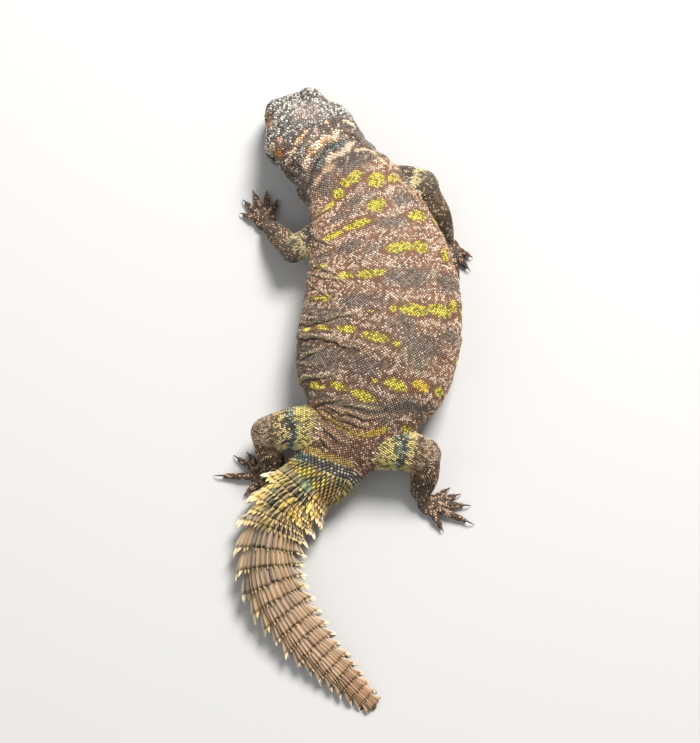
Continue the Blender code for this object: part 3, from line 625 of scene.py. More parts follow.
def surface_net(low, high, step):
    """Corners and quads of the surface where the field is zero.

    Each grid cell that the surface crosses gets one corner, at the mean of the crossings on the cell's
    edges, and each grid edge that it crosses gets one quad, between the corners of the four cells round it.
    """
    counts = np.ceil((high - low) / (step * BLOCK)).astype(int)
    values = block_values(low, counts, step)
    inside = values < 0
    cells = tuple(np.array(values.shape) - 1)
    total = sum(
        inside[i : cells[0] + i, j : cells[1] + j, k : cells[2] + k].astype(int)
        for i in (0, 1)
        for j in (0, 1)
        for k in (0, 1)
    )
    crossed = np.argwhere((total > 0) & (total < 8))
    number = np.full(cells, -1)
    number[tuple(crossed.T)] = np.arange(len(crossed))
    corner, count = np.zeros((len(crossed), 3)), np.zeros(len(crossed))
    for axis in range(3):
        for i in (0, 1):
            for j in (0, 1):
                first = np.zeros(3, int)
                first[(axis + 1) % 3], first[(axis + 2) % 3] = i, j
                second = first.copy()
                second[axis] = 1
                a, b = values[tuple((crossed + first).T)], values[tuple((crossed + second).T)]
                cut = (a < 0) != (b < 0)
                share = np.where(cut, a / np.where(cut, a - b, 1.0), 0.0)
                corner += cut[:, None] * (first + share[:, None] * (second - first))
                count += cut
    corner = low + step * (crossed + corner / count[:, None])
    quads = []
    for axis in range(3):
        u, v = (axis + 1) % 3, (axis + 2) % 3
        ahead = np.roll(inside, -1, axis)
        edges = np.argwhere(inside != ahead)
        edges = edges[(edges[:, axis] < cells[axis]) & (edges[:, u] > 0) & (edges[:, v] > 0)]
        around = []
        for du, dv in ((-1, -1), (0, -1), (0, 0), (-1, 0)):
            cell = edges.copy()
            cell[:, u] += du
            cell[:, v] += dv
            around.append(number[tuple(np.minimum(cell, np.array(cells) - 1).T)])
        quad = np.stack(around, axis=1)
        outwards = inside[tuple(edges.T)]
        quads.append(np.where(outwards[:, None], quad, quad[:, ::-1]))
    return corner, np.concatenate(quads)


def hash_of(cells, seed):
    """A repeatable number from 0 to 1 for each whole-number cell."""
    primes = 374761393, 668265263, 2246822519
    mixed_up = np.uint32(seed * 3266489917 % 2**32)
    for axis, prime in enumerate(primes):
        mixed_up = mixed_up + cells[..., axis].astype(np.int64).astype(np.uint32) * np.uint32(prime)
    mixed_up = (mixed_up ^ (mixed_up >> np.uint32(13))) * np.uint32(1274126177)
    return ((mixed_up ^ (mixed_up >> np.uint32(16))) & np.uint32(0xFFFF)) / 65535.0


def clouds(points, size, seed):
    """Smooth noise from 0 to 1, whose blobs are about size across."""
    scaled = points / size
    cell = np.floor(scaled)
    t = scaled - cell
    t = t * t * (3 - 2 * t)
    total = np.zeros(len(points))
    for i in (0, 1):
        for j in (0, 1):
            for k in (0, 1):
                weight = np.abs(1 - i - t[:, 0]) * np.abs(1 - j - t[:, 1]) * np.abs(1 - k - t[:, 2])
                total += weight * hash_of(cell + (i, j, k), seed)
    return total


def paint(code):
    """A colour from its usual six-figure code, as linear light."""
    values = np.array([int(code[i : i + 2], 16) / 255 for i in (0, 2, 4)])
    return np.where(values < 0.04045, values / 12.92, ((values + 0.055) / 1.055) ** 2.4)


def mixed(first, second, share):
    """One colour turned into another by each point's share; a colour may be given by its code."""
    first, second = (paint(colour) if isinstance(colour, str) else colour for colour in (first, second))
    return first + (second - first) * np.clip(share, 0, 1)[:, None]


def step_between(value, low, high):
    """A smooth step from 0 at low to 1 at high."""
    t = np.clip((value - low) / (high - low), 0, 1)
    return t * t * (3 - 2 * t)


FOLD_TABLES = fold_tables(FOLDS, BODY_MAP)
NECK_TABLES = fold_tables(NECK_FOLDS, NECK_MAP)
# Yellow spots of the back: distance along the spine, offset round it, half length across, half width along
SPOTS = (
    (14.0, 6.8, 2.0, 0.9), (13.0, 3.5, 1.2, 1.5), (11.8, 1.2, 0.8, 1.4), (12.0, -0.9, 1.6, 1.4),
    (15.2, -4.0, 1.9, 1.6), (16.0, -7.9, 1.7, 0.9), (23.8, 8.2, 2.3, 1.0), (23.2, 2.9, 2.9, 1.1),
    (20.2, -1.8, 2.1, 1.5), (24.5, -9.5, 2.5, 1.3), (25.6, -15.6, 1.5, 1.1), (31.8, 12.7, 2.1, 0.8),
    (36.0, 7.3, 2.1, 1.1), (36.2, 2.2, 2.8, 1.2), (30.8, -3.8, 2.8, 1.3), (31.2, -8.0, 1.8, 1.4),
    (32.5, -14.6, 1.6, 1.4), (33.6, -20.0, 1.8, 1.1), (41.2, 14.5, 1.3, 0.8), (41.8, 11.6, 1.3, 1.2),
    (45.4, 2.0, 0.6, 0.4), (44.2, -2.1, 0.7, 1.0), (44.2, -5.9, 3.0, 1.3), (43.6, -11.6, 3.2, 1.3),
    (42.0, -15.6, 1.8, 1.2), (42.6, -21.0, 2.2, 1.1), (51.8, 15.3, 1.6, 0.7), (51.0, 11.2, 1.8, 0.9),
    (50.5, 6.4, 2.0, 1.1), (51.2, 0.6, 3.0, 1.1), (51.5, -3.5, 0.8, 0.9), (50.4, -22.0, 1.8, 1.0),
    (63.5, 19.0, 2.0, 0.8), (64.8, 9.7, 2.2, 0.9), (63.7, 4.7, 2.0, 0.9), (64.2, -0.3, 2.6, 1.1),
    (60.5, -1.4, 0.6, 0.5), (59.8, -5.5, 2.4, 1.3), (58.2, -10.3, 2.1, 1.2), (57.6, -16.0, 2.2, 1.1),
    (57.6, -21.4, 1.8, 1.0), (67.0, -12.0, 1.8, 0.8),
)
# Yellow streaks over the hips: points on the unrolled body, and half width
HIP_STREAKS = (
    (((71.1, 7.5), (71.8, 4.9), (72.0, 2.3), (72.1, -0.1), (72.1, -2.1)), 0.62),
    (((71.3, -3.4), (70.3, -5.0), (68.6, -6.8)), 0.60),
    (((80.6, 5.4), (79.9, 2.4), (79.0, -0.6), (77.8, -4.0)), 0.85),
)
# A dark band before the hips and a pale line behind the right shoulder, as points on the unrolled body
HIP_BAND = ((67.3, 8.5), (67.4, 4.0), (66.7, -0.7), (65.2, -5.0), (63.0, -10.0), (62.0, -14.0))
SHOULDER_LINE = ((15.7, -8.6), (18.8, -10.4), (21.1, -12.0))
# Marks of the neck and of the back of the head, in the head's frame: points as distance forwards and left,
# half width and colour
NECK_MARKS = (
    # The first three lie along the crests of the neck's creases: painted highlights
    (((-3.8, 6.1), (-3.0, 6.0), (-2.8, 5.0), (-2.4, 3.6)), 0.34, "8b9a9c"),
    (((-2.4, 3.6), (-2.3, 2.4), (-1.8, 1.1), (-1.4, 0.7), (0.4, 0.7)), 0.26, "b8a09c"),
    (((-6.8, 3.7), (-5.5, 1.7), (-5.1, -0.3), (-4.8, -2.6), (-4.3, -5.0)), 0.34, "84908f"),
    (((-2.5, -9.3), (-4.4, -9.9), (-6.2, -10.2)), 0.50, "65787a"),
    (
        (
            (-5.0, 5.8), (-4.6, 4.6), (-4.0, 3.8), (-3.7, 2.3), (-3.4, 1.1), (-3.1, -0.3), (-3.1, -1.7),
            (-3.2, -2.8),
        ),
        0.62, "ecd8c0",
    ),
    (((-4.4, 4.4), (-3.9, 3.1)), 0.28, "cf9f74"),
    (((-3.4, 0.7), (-3.1, -0.8)), 0.26, "cf9f74"),
    (((-2.6, -3.7), (-2.5, -3.9)), 0.62, "ecd8c0"),
    (((0.5, -2.7), (0.6, -2.8)), 0.58, "dcb8a4"),
    (((-1.1, 5.7), (-0.7, 4.7), (-0.2, 3.3), (0.2, 2.9)), 0.48, "dcbc98"),
    (((0.1, 9.9), (1.1, 9.7)), 0.46, "b5753c"),
    (((1.9, 8.7), (2.5, 8.5)), 0.50, "d8ae94"),
    (((-1.9, 9.1), (-2.1, 7.1)), 0.42, "cdbfa4"),
    (((3.9, 10.4), (2.7, 10.3)), 0.48, "cdbfa4"),
    (((-9.0, 5.8), (-8.4, 4.2), (-8.0, 2.2), (-8.1, 0.5)), 0.58, "d8b89c"),
    (((-6.5, 0.9), (-6.4, -0.4), (-6.6, -2.0), (-6.2, -4.0), (-5.0, -5.9)), 0.56, "ecd8c0"),
    (((-6.9, -6.2), (-7.3, -8.9), (-9.5, -10.3), (-12.0, -11.0)), 0.48, "e2cfae"),
    (((0.1, -7.3), (-0.7, -8.6)), 0.48, "e2cfae"),
)
RIDGE_MARK = 0.35  # marks narrower than this are ridges, and have no rims or grains
# Dark grey patches between the rows of spots, given as the spots are
PATCHES = (
    (24.8, -3.7, 3.2, 1.4), (17.2, 1.4, 2.6, 1.2), (9.5, -3.5, 3.8, 2.0), (10.0, 4.6, 2.0, 2.4),
    (19.5, 5.8, 3.2, 1.1), (16.6, -12.0, 3.0, 1.6), (20.4, -8.6, 3.0, 1.4), (28.2, 6.3, 4.2, 1.6),
    (30.2, 1.0, 2.2, 1.2), (29.0, 12.0, 3.0, 1.2), (37.6, -5.0, 5.0, 2.0), (38.0, -15.0, 4.0, 1.8),
    (43.0, 4.5, 4.4, 1.9), (47.5, 10.0, 4.2, 2.0), (45.0, 17.0, 3.0, 2.0), (47.5, -4.5, 1.6, 2.2),
    (50.4, -8.4, 4.4, 2.0), (47.6, -16.0, 3.6, 1.6), (58.5, 11.0, 8.0, 2.4), (57.8, 1.5, 3.2, 1.8),
    (68.2, 6.0, 7.0, 1.5), (66.5, -4.0, 5.6, 1.4), (62.8, -9.0, 4.6, 1.5), (74.6, 3.0, 5.0, 1.0),
    (68.0, 15.0, 3.5, 2.4),
)
# Colours by their codes
# The last colour is that of the painted highlights on the ridges of folds and wrinkles
NET, NET_DARK, SPECK, PALE_SPECK, RIDGE_HIGHLIGHT = "92684f", "6e4f3d", "c6ac96", "e6d4c4", "e4ceaa"
YELLOW, YELLOW_DARK, ORANGE_RIM, BLACKISH, TEAL = "d8ca48", "675c28", "865c42", "231f1f", "5c8276"
GREY, GREY_SPECK, BELLY, BELLY_DARK = "423a36", "8c8077", "c4b594", "7d7263"


def patch_distance(at, around, patches):
    """Distance outside the nearest of some ovals on the unrolled body, in mm, negative inside."""
    s, w, across, wide = np.array(patches).T
    ratio = np.hypot((around[:, None] - w) / across, (at[:, None] - s) / wide)
    return np.min((ratio - 1) * np.minimum(across, wide), axis=1)


def bright_grains(colour, gap, chance, code):
    """Grains of a pale mark where gap is below zero, with a brown rim and a few dark grains inside."""
    tone = mixed(code, ORANGE_RIM, 0.45 * (chance > 0.88) + 0.10 * (chance < 0.3))
    colour = mixed(colour, ORANGE_RIM, 0.45 * bump(gap, 0.26, 0.26))
    return mixed(colour, tone, step_between(-gap, -0.08, 0.08))


def random_like(chance, seed):
    """A second repeatable random number for each point, from its first one."""
    return np.modf(chance * (977.0 + 131.0 * seed) + 0.37 * seed)[0]


def body_colour(points, at, around, chance):
    """Markings of the trunk: yellow spots with brown rims on a brown net, pale specks and dark patches."""
    fine = clouds(points, 0.55, 3) - 0.5
    spot = patch_distance(at, around, SPOTS) + 0.06 + 0.34 * fine + 0.20 * (chance - 0.5)
    patch = patch_distance(at, around, PATCHES) + 1.6 * (clouds(points, 2.2, 5) - 0.5) + 1.5 * (chance - 0.5)
    # Painted shade: the net darkens and its pale specks fade towards the rear and the left, away from the
    # lamp
    painted_shade_rear_left = step_between(at + 1.1 * around, 28.0, 66.0)
    net = mixed(NET, NET_DARK, painted_shade_rear_left)
    net = mixed(net, GREY, 0.35 * step_between(clouds(points, 1.5, 6), 0.5, 0.7))
    ring, rim = bump(spot, 1.35, 0.42), bump(spot, 0.30, 0.28)
    # Thin winding lines of pale grains run where a smooth noise crosses its middle
    lines = bump(clouds(points, 1.25, 8), 0.5, 0.06)
    lean = 0.25 * (clouds(points, 0.62, 7) - 0.5) + 0.70 * (random_like(chance, 1) - 0.5)
    lean += 0.22 * ring + 0.30 * lines - 0.16 * rim
    speck = mixed(SPECK, PALE_SPECK, step_between(chance, 0.35, 0.75))
    colour = mixed(net, mixed(speck, net, 0.25 * painted_shade_rear_left), step_between(lean, 0.14, 0.20))
    dark = mixed(GREY, "665a52", random_like(chance, 2))
    dark = mixed(dark, GREY_SPECK, 0.85 * (random_like(chance, 3) > 0.5))
    colour = mixed(colour, dark, 0.80 * step_between(-patch, -0.8, 0.8))
    colour = mixed(colour, "544a42", 0.50 * bump(at, 58.0, 8.0) * step_between(around, 6.0, 14.0))
    colour = mixed(colour, "7c8070", 0.45 * bump(at, 54.0, 2.2) * bump(around, -8.0, 3.2))
    colour = mixed(colour, ORANGE_RIM, 0.45 * rim)
    yellow = mixed(YELLOW, "e8b43c", 0.7 * bump(at, 58.2, 2.0) * bump(around, -10.3, 3.0))
    yellow = mixed(yellow, "e6de74", 0.6 * (random_like(chance, 4) > 0.6))
    yellow = mixed(yellow, YELLOW_DARK, 0.85 * (random_like(chance, 5) > 0.64))
    colour = mixed(colour, yellow, step_between(-spot, -0.06, 0.10))
    band = np.abs(line_place(at, around, HIP_BAND)[0]) + 0.8 * fine
    dark = mixed(GREY, "5c5148", random_like(chance, 16))
    colour = mixed(colour, dark, 0.75 * step_between(-band, -1.3, -0.5))
    rear = at > 76
    for line, half in HIP_STREAKS:
        gap = np.abs(line_place(at, around, line)[0]) - half + 0.5 * fine
        shown = step_between(-gap, -0.1, 0.1) * (1 - 0.45 * rear * (random_like(chance, 15) > 0.5))
        colour = mixed(colour, mixed(yellow, "b09e5c", np.where(rear, 0.75, 0.35)), shown)
    gap = np.abs(line_place(at, around, SHOULDER_LINE)[0]) - 0.34 + 1.2 * fine
    colour = bright_grains(colour, gap, chance, "cdb896")
    # Painted highlight along the ridge of each fold
    colour = mixed(colour, RIDGE_HIGHLIGHT, 0.9 * body_fold(PAINTED_RIDGE_LIGHT, at, around))
    # Painted light and shade on the hips' folds: paler where they stand out, darker where they sink
    relief = body_fold(RELIEF, at, around) * step_between(at, 66.5, 70.0)
    colour = mixed(colour, "b99a86", 0.7 * np.clip(2.2 * relief, 0, 1) * (random_like(chance, 17) > 0.3))
    colour = colour * (1 - 0.55 * np.clip(-2.5 * relief, 0, 1))[:, None]
    # The hips are darker and redder
    colour = colour * (1 - step_between(at, 66.0, 70.0)[:, None] * np.array([0.10, 0.22, 0.30]))
    # Painted highlight on the crests of the flank wrinkles, then painted shade in their hollows and the
    # folds' grooves
    wrinkle = flank_wrinkles(at, around)
    colour = mixed(colour, RIDGE_HIGHLIGHT, 1.3 * np.clip(wrinkle - 0.10, 0, 0.3))
    shade = 0.78 * body_fold(PAINTED_GROOVE_SHADE, at, around) + 2.4 * np.clip(-wrinkle - 0.05, 0, 0.2)
    return colour * (1 - np.clip(shade, 0, 0.8))[:, None]


def neck_colour(colour, points, chance):
    """Neck marks, head frame: cream bands, orange rims, dark skin, blue-grey painted highlights on creases.
    """
    q, upper = neck_share(points)
    x, y, z = q.T
    tint = random_like(chance, 7)
    reach = step_between(x, -11.5, -8.0) * np.clip((3.0 - x) / 2.0, 0, 1)
    specks = 0.4 * clouds(points, 0.6, 11) + 0.6 * tint > 0.66
    under = mixed(mixed("3a3432", "665c56", tint), "c4bab4", 0.85 * specks)
    colour = mixed(colour, under, 0.88 * reach)
    wobble = 0.8 * (clouds(points, 0.9, 13) - 0.5) + 0.30 * (chance - 0.5)
    wobble += 0.9 * np.maximum(1.4 - z, 0) * (x > -1.5)
    for line, half, code in NECK_MARKS:
        gap = np.abs(line_place(x, y, line)[0]) + wobble - half + 3 * (1 - upper) * (x < 0)
        # Narrow lines, without rims or grains; those along the creases' crests are painted highlights
        if half < RIDGE_MARK:
            colour = mixed(colour, mixed(code, GREY, 0.6 * (tint > 0.8)), step_between(-gap, -0.15, 0.12))
        else:
            colour = bright_grains(colour, gap, chance, code)
    # Painted highlights on the creases' ridges, then painted shade in their grooves
    colour = mixed(colour, RIDGE_HIGHLIGHT, 0.35 * upper * read_map(NECK_TABLES[PAINTED_RIDGE_LIGHT], NECK_MAP, -x, y))
    return colour * (1 - 0.72 * upper * read_map(NECK_TABLES[PAINTED_GROOVE_SHADE], NECK_MAP, -x, y))[:, None]


TAIL_SLANT = 0.37  # how far the bands at the tail's root lean towards the head on the right


def slanted_at(at, around):
    """Distance along the spine, measured along the bands of the tail's root."""
    return at - TAIL_SLANT * np.clip(around, -6.0, 6.0)


# Patches of the first tail rings: distance along the spine, offset round it, radius and colour
TAIL_PATCHES = (
    (85.1, -4.9, 2.2, "7a5238"), (88.2, 3.6, 1.0, "cdbb48"), (86.0, 2.7, 0.9, "d6c650"),
    (84.6, 1.3, 0.9, "d6c650"), (85.6, -1.4, 0.9, "cdbb48"), (88.3, 2.0, 0.9, "3c5450"),
    (88.8, -0.5, 1.0, "2f3f3d"), (86.8, -0.3, 0.9, "4b6a62"), (93.7, 2.9, 1.1, "33403d"),
    (94.9, 1.4, 1.0, "3c4a44"),
)


def tail_colour(points, at, around, chance):
    """Ground colours of the tail: dark beads at its root, yellow and teal patches, then tan and brown."""
    tint = random_like(chance, 8)
    tan = mixed("7c6852", "988066", clouds(points, 2.0, 17))
    tan = mixed(tan, "665a58", 0.75 * step_between(clouds(points, 2.2, 19) + 0.25 * (tint - 0.5), 0.45, 0.6))
    tan = mixed(tan, "9a8068", 0.8 * step_between(at, 106, 124))
    tan = mixed(tan, "9a7a5e", step_between(at, 132, 142))
    tan = mixed(tan, "5c4438", 0.7 * bump(at, 138.5, 1.6) * bump(around, 0.5, 1.6))
    front = mixed(mixed("ac8c44", "dec562", chance), "b8a878", 1.0 * (tint > 0.78))
    teal = step_between(clouds(points, 2.0, 23) + 0.3 * (tint - 0.5), 0.50, 0.56)
    front = mixed(front, mixed("4c645c", "2c3634", chance), 0.9 * teal)
    front = mixed(front, "62544c", 0.9 * (np.abs(tint - 0.2) < 0.14))
    colour = mixed(front, tan, step_between(at + 6 * (clouds(points, 3.0, 29) - 0.5), 91, 101))
    for s, w, radius, code in TAIL_PATCHES:
        near = np.hypot(at - s, around - w) / radius + 0.5 * (chance - 0.5)
        colour = mixed(colour, code, 0.9 * step_between(-near, -1.25, -0.8))
    beads = mixed("423e3b", "666059", tint)
    beads = mixed(beads, "3a514a", 0.7 * step_between(around, 1.0, 5.0))
    beads = mixed(beads, mixed("9c9c92", TEAL, 0.5 * step_between(around, 2.0, 5.0)), 0.85 * (chance > 0.70))
    return mixed(beads, colour, step_between(slanted_at(at, around) + 0.8 * (tint - 0.5), 82.2, 83.0))


def belly_share(points, around, girth):
    """How far a point is towards the pale underside, from 0 on the flank to 1 below."""
    half, rise, _ = girth.T
    side = math.pi / 4 * (half + rise)
    return step_between(np.abs(around) - side + 2.0 * (clouds(points, 3.0, 37) - 0.5), -1.0, 3.5)


def trunk_and_tail_colour(points, chance):
    """Markings anywhere on the trunk and tail, from the place of each point on the body."""
    at, left, up, _, girth = body_place(points)
    around = girth_offset(left, up, girth)
    hips = step_between(slanted_at(at, around) + 0.5 * (random_like(chance, 9) - 0.5), 79.6, 80.2)
    colour = mixed(body_colour(points, at, around, chance), tail_colour(points, at, around, chance), hips)
    marbling = step_between(clouds(points, 2.2, 41) + 0.3 * (random_like(chance, 10) - 0.5), 0.52, 0.62)
    below = mixed(BELLY, BELLY_DARK, 0.7 * marbling)
    share = belly_share(points, around, girth) * (1 - 0.5 * step_between(at, 90, 110))
    return mixed(colour, below, share)


def head_colour(points, chance):
    """Markings of the head: white, grey and black grains, pinkish on the crown, orange-brown by the lids."""
    q = to_head(points)
    x, y, z = q.T
    side = one_sided(q)
    tint, other = random_like(chance, 11), random_like(chance, 12)
    grey, white = mixed("4d4d4b", "7d7c7a", tint), mixed("9e9b96", "d4d1ca", other)
    # Painted shade: the left half and the rear edges hold fewer pale grains
    shade = 0.10 * step_between(y, 1.0, 7.0) + 0.14 * step_between(-x, -3.0, 1.0)
    shade = shade + 0.16 * (clouds(points, 1.6, 43) - 0.5)
    colour = mixed(grey, white, step_between(chance, 0.56 + shade, 0.62 + shade))
    colour = mixed(colour, BLACKISH, 0.70 * (chance < 0.20 + 0.6 * shade))
    crown = bump(x, 6.0, 3.8) * bump(y, 0, 3.4) * (z > 0)
    colour = mixed(colour, mixed("8f7a72", "c2aca0", tint), 0.6 * crown)
    lids = bump(x, 11.2, 3.4) * bump(side[:, 1], 7.6, 1.1) * bump(z, 2.6, 2.2)
    colour = mixed(colour, mixed("7c4e30", "b57a48", other), 1.1 * lids)
    opening, _, nostril, mouth = face_gaps(side)
    colour = mixed(colour, "e9e2d2", 0.8 * bump(opening, 0.35, 0.22) * (tint > 0.35))
    cheek = step_between(side[:, 1] - 0.5 * z, 8.4, 9.6) * step_between(-x, -9.0, -4.0)
    stripes = np.sin(np.arctan2(z, side[:, 1] - 4.0) * 9.0 + 3.0 * clouds(points, 3.0, 53))
    dark, pale = mixed("4a4542", grey, 0.4 * tint), mixed("cdbd9d", white, 0.5 * other)
    colour = mixed(colour, mixed(dark, pale, step_between(stripes, 0.1, 0.5)), 0.7 * cheek)
    pale = mixed("c9bda3", "7d766b", step_between(clouds(points, 1.6, 59), 0.5, 0.65))
    colour = mixed(colour, pale, step_between(-z, 3.4, 5.0))
    # Painted shade in the seam of the mouth and inside the nostrils
    return colour * (1 - 0.85 * np.maximum(bump(mouth, 0, 0.26), step_between(-nostril, -0.2, 0.0)))[:, None]


# Bands of the limbs: share of a length's way from the body outwards, and colour
LEG_BANDS = {
    "thigh": (
        (0.0, "86756a"), (0.24, "8c7a68"), (0.34, "a59a66"), (0.42, "c4ba72"), (0.49, "d0c87c"),
        (0.53, "94945c"), (0.58, "4b534b"), (0.70, "46463e"), (0.76, "cebf7a"), (0.83, "ccbb86"),
        (0.88, "665648"), (1.0, "a28f78"),
    ),
    "arm": (
        (0.0, "565049"), (0.26, "524c46"), (0.34, "d8d0a0"), (0.44, "cec490"), (0.52, "4c4743"),
        (0.70, "504a44"), (0.78, "d4caa0"), (0.90, "c6ba8c"), (0.96, "544e4a"), (1.0, "665c50"),
    ),
    "lower": (
        (0.0, "64503f"), (0.4, "7a6650"), (0.6, "4a3c32"), (1.0, "66564a"),
    ),
}


def banded_colour(kind, share):
    """Colours read between the bands of a limb length."""
    at, codes = zip(*LEG_BANDS[kind])
    colours = np.array([paint(code) for code in codes])
    return np.stack([np.interp(share, at, colours[:, c]) for c in range(3)], axis=1)


def limb_place(points, name):
    """Share of the way along a limb length, from its line's nearest point."""
    line, _ = limb_line(name, 24)
    return np.argmin(np.linalg.norm(points[:, None] - line, axis=2), axis=1) / 23.0


def limb_colour(points, name, chance):
    """Markings of a limb length: bands across it with specks of teal or pink."""
    tint = random_like(chance, 13)
    share = limb_place(points, name)
    wobble = 0.22 * (clouds(points, 1.6, 61) - 0.5) + 0.10 * (tint - 0.5)
    kind = "thigh" if name.startswith("thigh") else "arm" if name.startswith("upper") else "lower"
    bands = banded_colour(kind, share + wobble)
    if kind == "thigh":
        teal = (np.abs(share + wobble - 0.64) < 0.10) * (tint > 0.55)
        bands = mixed(bands, mixed("4c6a62", "b4c2bc", chance**1.5), 0.85 * teal)
        bands = mixed(bands, PALE_SPECK, 0.75 * (share < 0.3) * (tint > 0.6))
    bands = mixed(bands, mixed(BLACKISH, NET_DARK, 0.6 * tint), 0.75 * (chance < 0.32))
    bands = mixed(bands, "cfb898", 0.6 * (chance > 0.86))
    return mixed(bands, BELLY, 0.8 * step_between(-points[:, 2], -4.0, -2.0) * (kind != "lower"))


def paw_colour(chance):
    """Markings of hands and feet: dark brown with pinkish-beige specks."""
    return mixed(mixed("3a2f29", "6a5648", random_like(chance, 14)), "bf9f88", 0.85 * (chance > 0.70))


def nearest_part(points):
    """The part each point lies on: 0 trunk and tail, 1 head, then three for each limb's lengths and paw."""
    fields = [body_field(points), near_box(points, HEAD_CORNERS, 4.0, head_field)]
    for upper, lower, paw in CHAINS:
        fields += [length_field(points, upper, 7.5), length_field(points, lower, 7.5)]
        palm = paw_axes(paw)[0][None]
        fields.append(near_box(points, palm, 12.0, lambda p, paw=paw: paw_field(p, paw, 1e-9)))
    return np.argmin(np.stack(fields), axis=0)


def markings(points, chance):
    """The animal's colour at points on or near the skin; chance is a random number for each one's specks."""
    part = nearest_part(points)
    colour = np.zeros((len(points), 3))
    for number in np.unique(part):
        here = part == number
        chain, length = divmod(number - 2, 3)
        if number == 0:
            colour[here] = trunk_and_tail_colour(points[here], chance[here])
        elif number == 1:
            colour[here] = head_colour(points[here], chance[here])
        elif length == 2:
            colour[here] = paw_colour(chance[here])
        else:
            colour[here] = limb_colour(points[here], CHAINS[chain][length], chance[here])
    # The head's markings turn into the neck's over a few millimetres behind the jaw
    x = to_head(points)[:, 0]
    border = (part < 2) & (x > -5) & (x < 4)
    if border.any():
        p, luck = points[border], chance[border]
        share = step_between(x[border] + 1.5 * (clouds(p, 1.5, 71) - 0.5), -2.2, 1.2)
        colour[border] = mixed(trunk_and_tail_colour(p, luck), head_colour(p, luck), share)
    neck = (part < 2) & (x > -13) & (x < 5)
    if neck.any():
        colour[neck] = neck_colour(colour[neck], points[neck], chance[neck])
    return colour


def piece(name, points, faces, colours, material, uv=None):
    """A piece of the animal from points in millimetres: its mesh, colours, map for baking and its ride."""
    mesh = bpy.data.meshes.new(name)
    sides = faces.shape[1]
    mesh.vertices.add(len(points))
    mesh.vertices.foreach_set("co", ((points + SHIFT) * MM).astype(np.float32).ravel())
    mesh.loops.add(faces.size)
    mesh.loops.foreach_set("vertex_index", faces.astype(np.int32).ravel())
    mesh.polygons.add(len(faces))
    mesh.polygons.foreach_set("loop_start", np.arange(0, faces.size, sides, dtype=np.int32))
    mesh.update(calc_edges=True)
    mesh.validate()
    return dressed(name, mesh, colours, material, uv)


def dressed(name, mesh, colours, material, uv=None):
    """Gives a mesh its colours, its map, its material and smooth shading, and makes it ride on the animal."""
    layer = mesh.attributes.new("markings", "FLOAT_COLOR", "POINT")
    opaque = np.column_stack([colours, np.ones(len(colours))])
    layer.data.foreach_set("color", opaque.astype(np.float32).ravel())
    if uv is not None:
        corner = np.empty(len(mesh.loops), np.int32)
        mesh.loops.foreach_get("vertex_index", corner)
        bake = mesh.uv_layers.new(name="OFBake")
        bake.data.foreach_set("uv", uv[corner].astype(np.float32).ravel())
    mesh.materials.append(material)
    mesh.shade_smooth()
    body = bpy.data.objects.new(name, mesh)
    bpy.context.scene.collection.objects.link(body)
    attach(body, "root")
    return body


# Small shapes of one scale: points as shares of half its length, half its width and its height, and faces
def circle(sides):
    """Points round a circle of radius 1."""
    turn = 2 * np.pi * np.arange(sides) / sides
    return np.column_stack([np.cos(turn), np.sin(turn)])


def loft_faces(rows, sides, tip=False):
    """Triangles of a closed loft, facing outwards.

    Bands run between rings of points and a fan closes the first end. A fan also closes the last end, or
    triangles to one more point where there is a tip.
    """
    ring = np.arange(sides)
    nxt = (ring + 1) % sides
    start = sides * np.arange(rows - 1)[:, None]
    low, high = (start + ring).ravel(), (start + nxt).ravel()
    fan, last = ring[1:-1], (rows - 1) * sides
    end = (np.full(sides - 2, last), last + fan, last + fan + 1)
    if tip:
        end = (last + ring, last + nxt, np.full(sides, rows * sides))
    bands = (low, high, high + sides), (low, high + sides, low + sides)
    return np.vstack([np.column_stack(part) for part in (*bands, (0 * fan, fan + 1, fan), end)])


def dome_shape(lean=0.25, waist=0.80, high=0.62, sides=6):
    """A low dome, or a spike with a narrow waist: a ring at its foot, one higher up, a tip to the rear."""
    ring = circle(sides)
    foot = np.column_stack([ring, np.full(sides, -0.6)])
    shoulder = np.column_stack([ring * waist + (0.06 + 0.3 * (0.80 - waist), 0), np.full(sides, high)])
    return np.vstack([foot, shoulder, [[lean, 0.0, 1.0]]]), loft_faces(2, sides, True)


def thorn_shape():
    """A keeled, pointed scale: a kite at its foot and a keel that rises to a point over the rear."""
    points = np.array([
        (-1.0, 0.0, -0.3), (-0.1, 1.0, -0.3), (0.9, 0.35, -0.3), (0.9, -0.35, -0.3), (-0.1, -1.0, -0.3),
        (-0.55, 0.0, 0.35), (0.2, 0.45, 0.40), (0.2, -0.45, 0.40), (0.45, 0.0, 0.85), (1.5, 0.0, 1.0),
    ])
    faces = np.array([
        (0, 5, 1), (0, 4, 5), (1, 5, 6), (4, 7, 5), (5, 8, 6), (5, 7, 8), (1, 6, 2), (4, 3, 7),
        (6, 8, 9), (7, 9, 8), (6, 9, 2), (7, 3, 9), (2, 9, 3), (0, 1, 2), (0, 2, 3), (0, 3, 4),
    ])
    return points, faces[:, ::-1]


def laid(roots, normals, lies, lengths, widths, heights, shape):
    """Copies of a small shape set on the skin, each turned to its own lie, as points and faces."""
    local, faces = shape
    across = unit(np.cross(normals, lies))
    lies = np.cross(across, normals)
    points = (
        roots[:, None]
        + lies[:, None] * (local[:, 0] * lengths[:, None] / 2)[..., None]
        + across[:, None] * (local[:, 1] * widths[:, None] / 2)[..., None]
        + normals[:, None] * (local[:, 2] * heights[:, None])[..., None]
    )
    return points.reshape(-1, 3), copied(faces, len(local), len(roots))


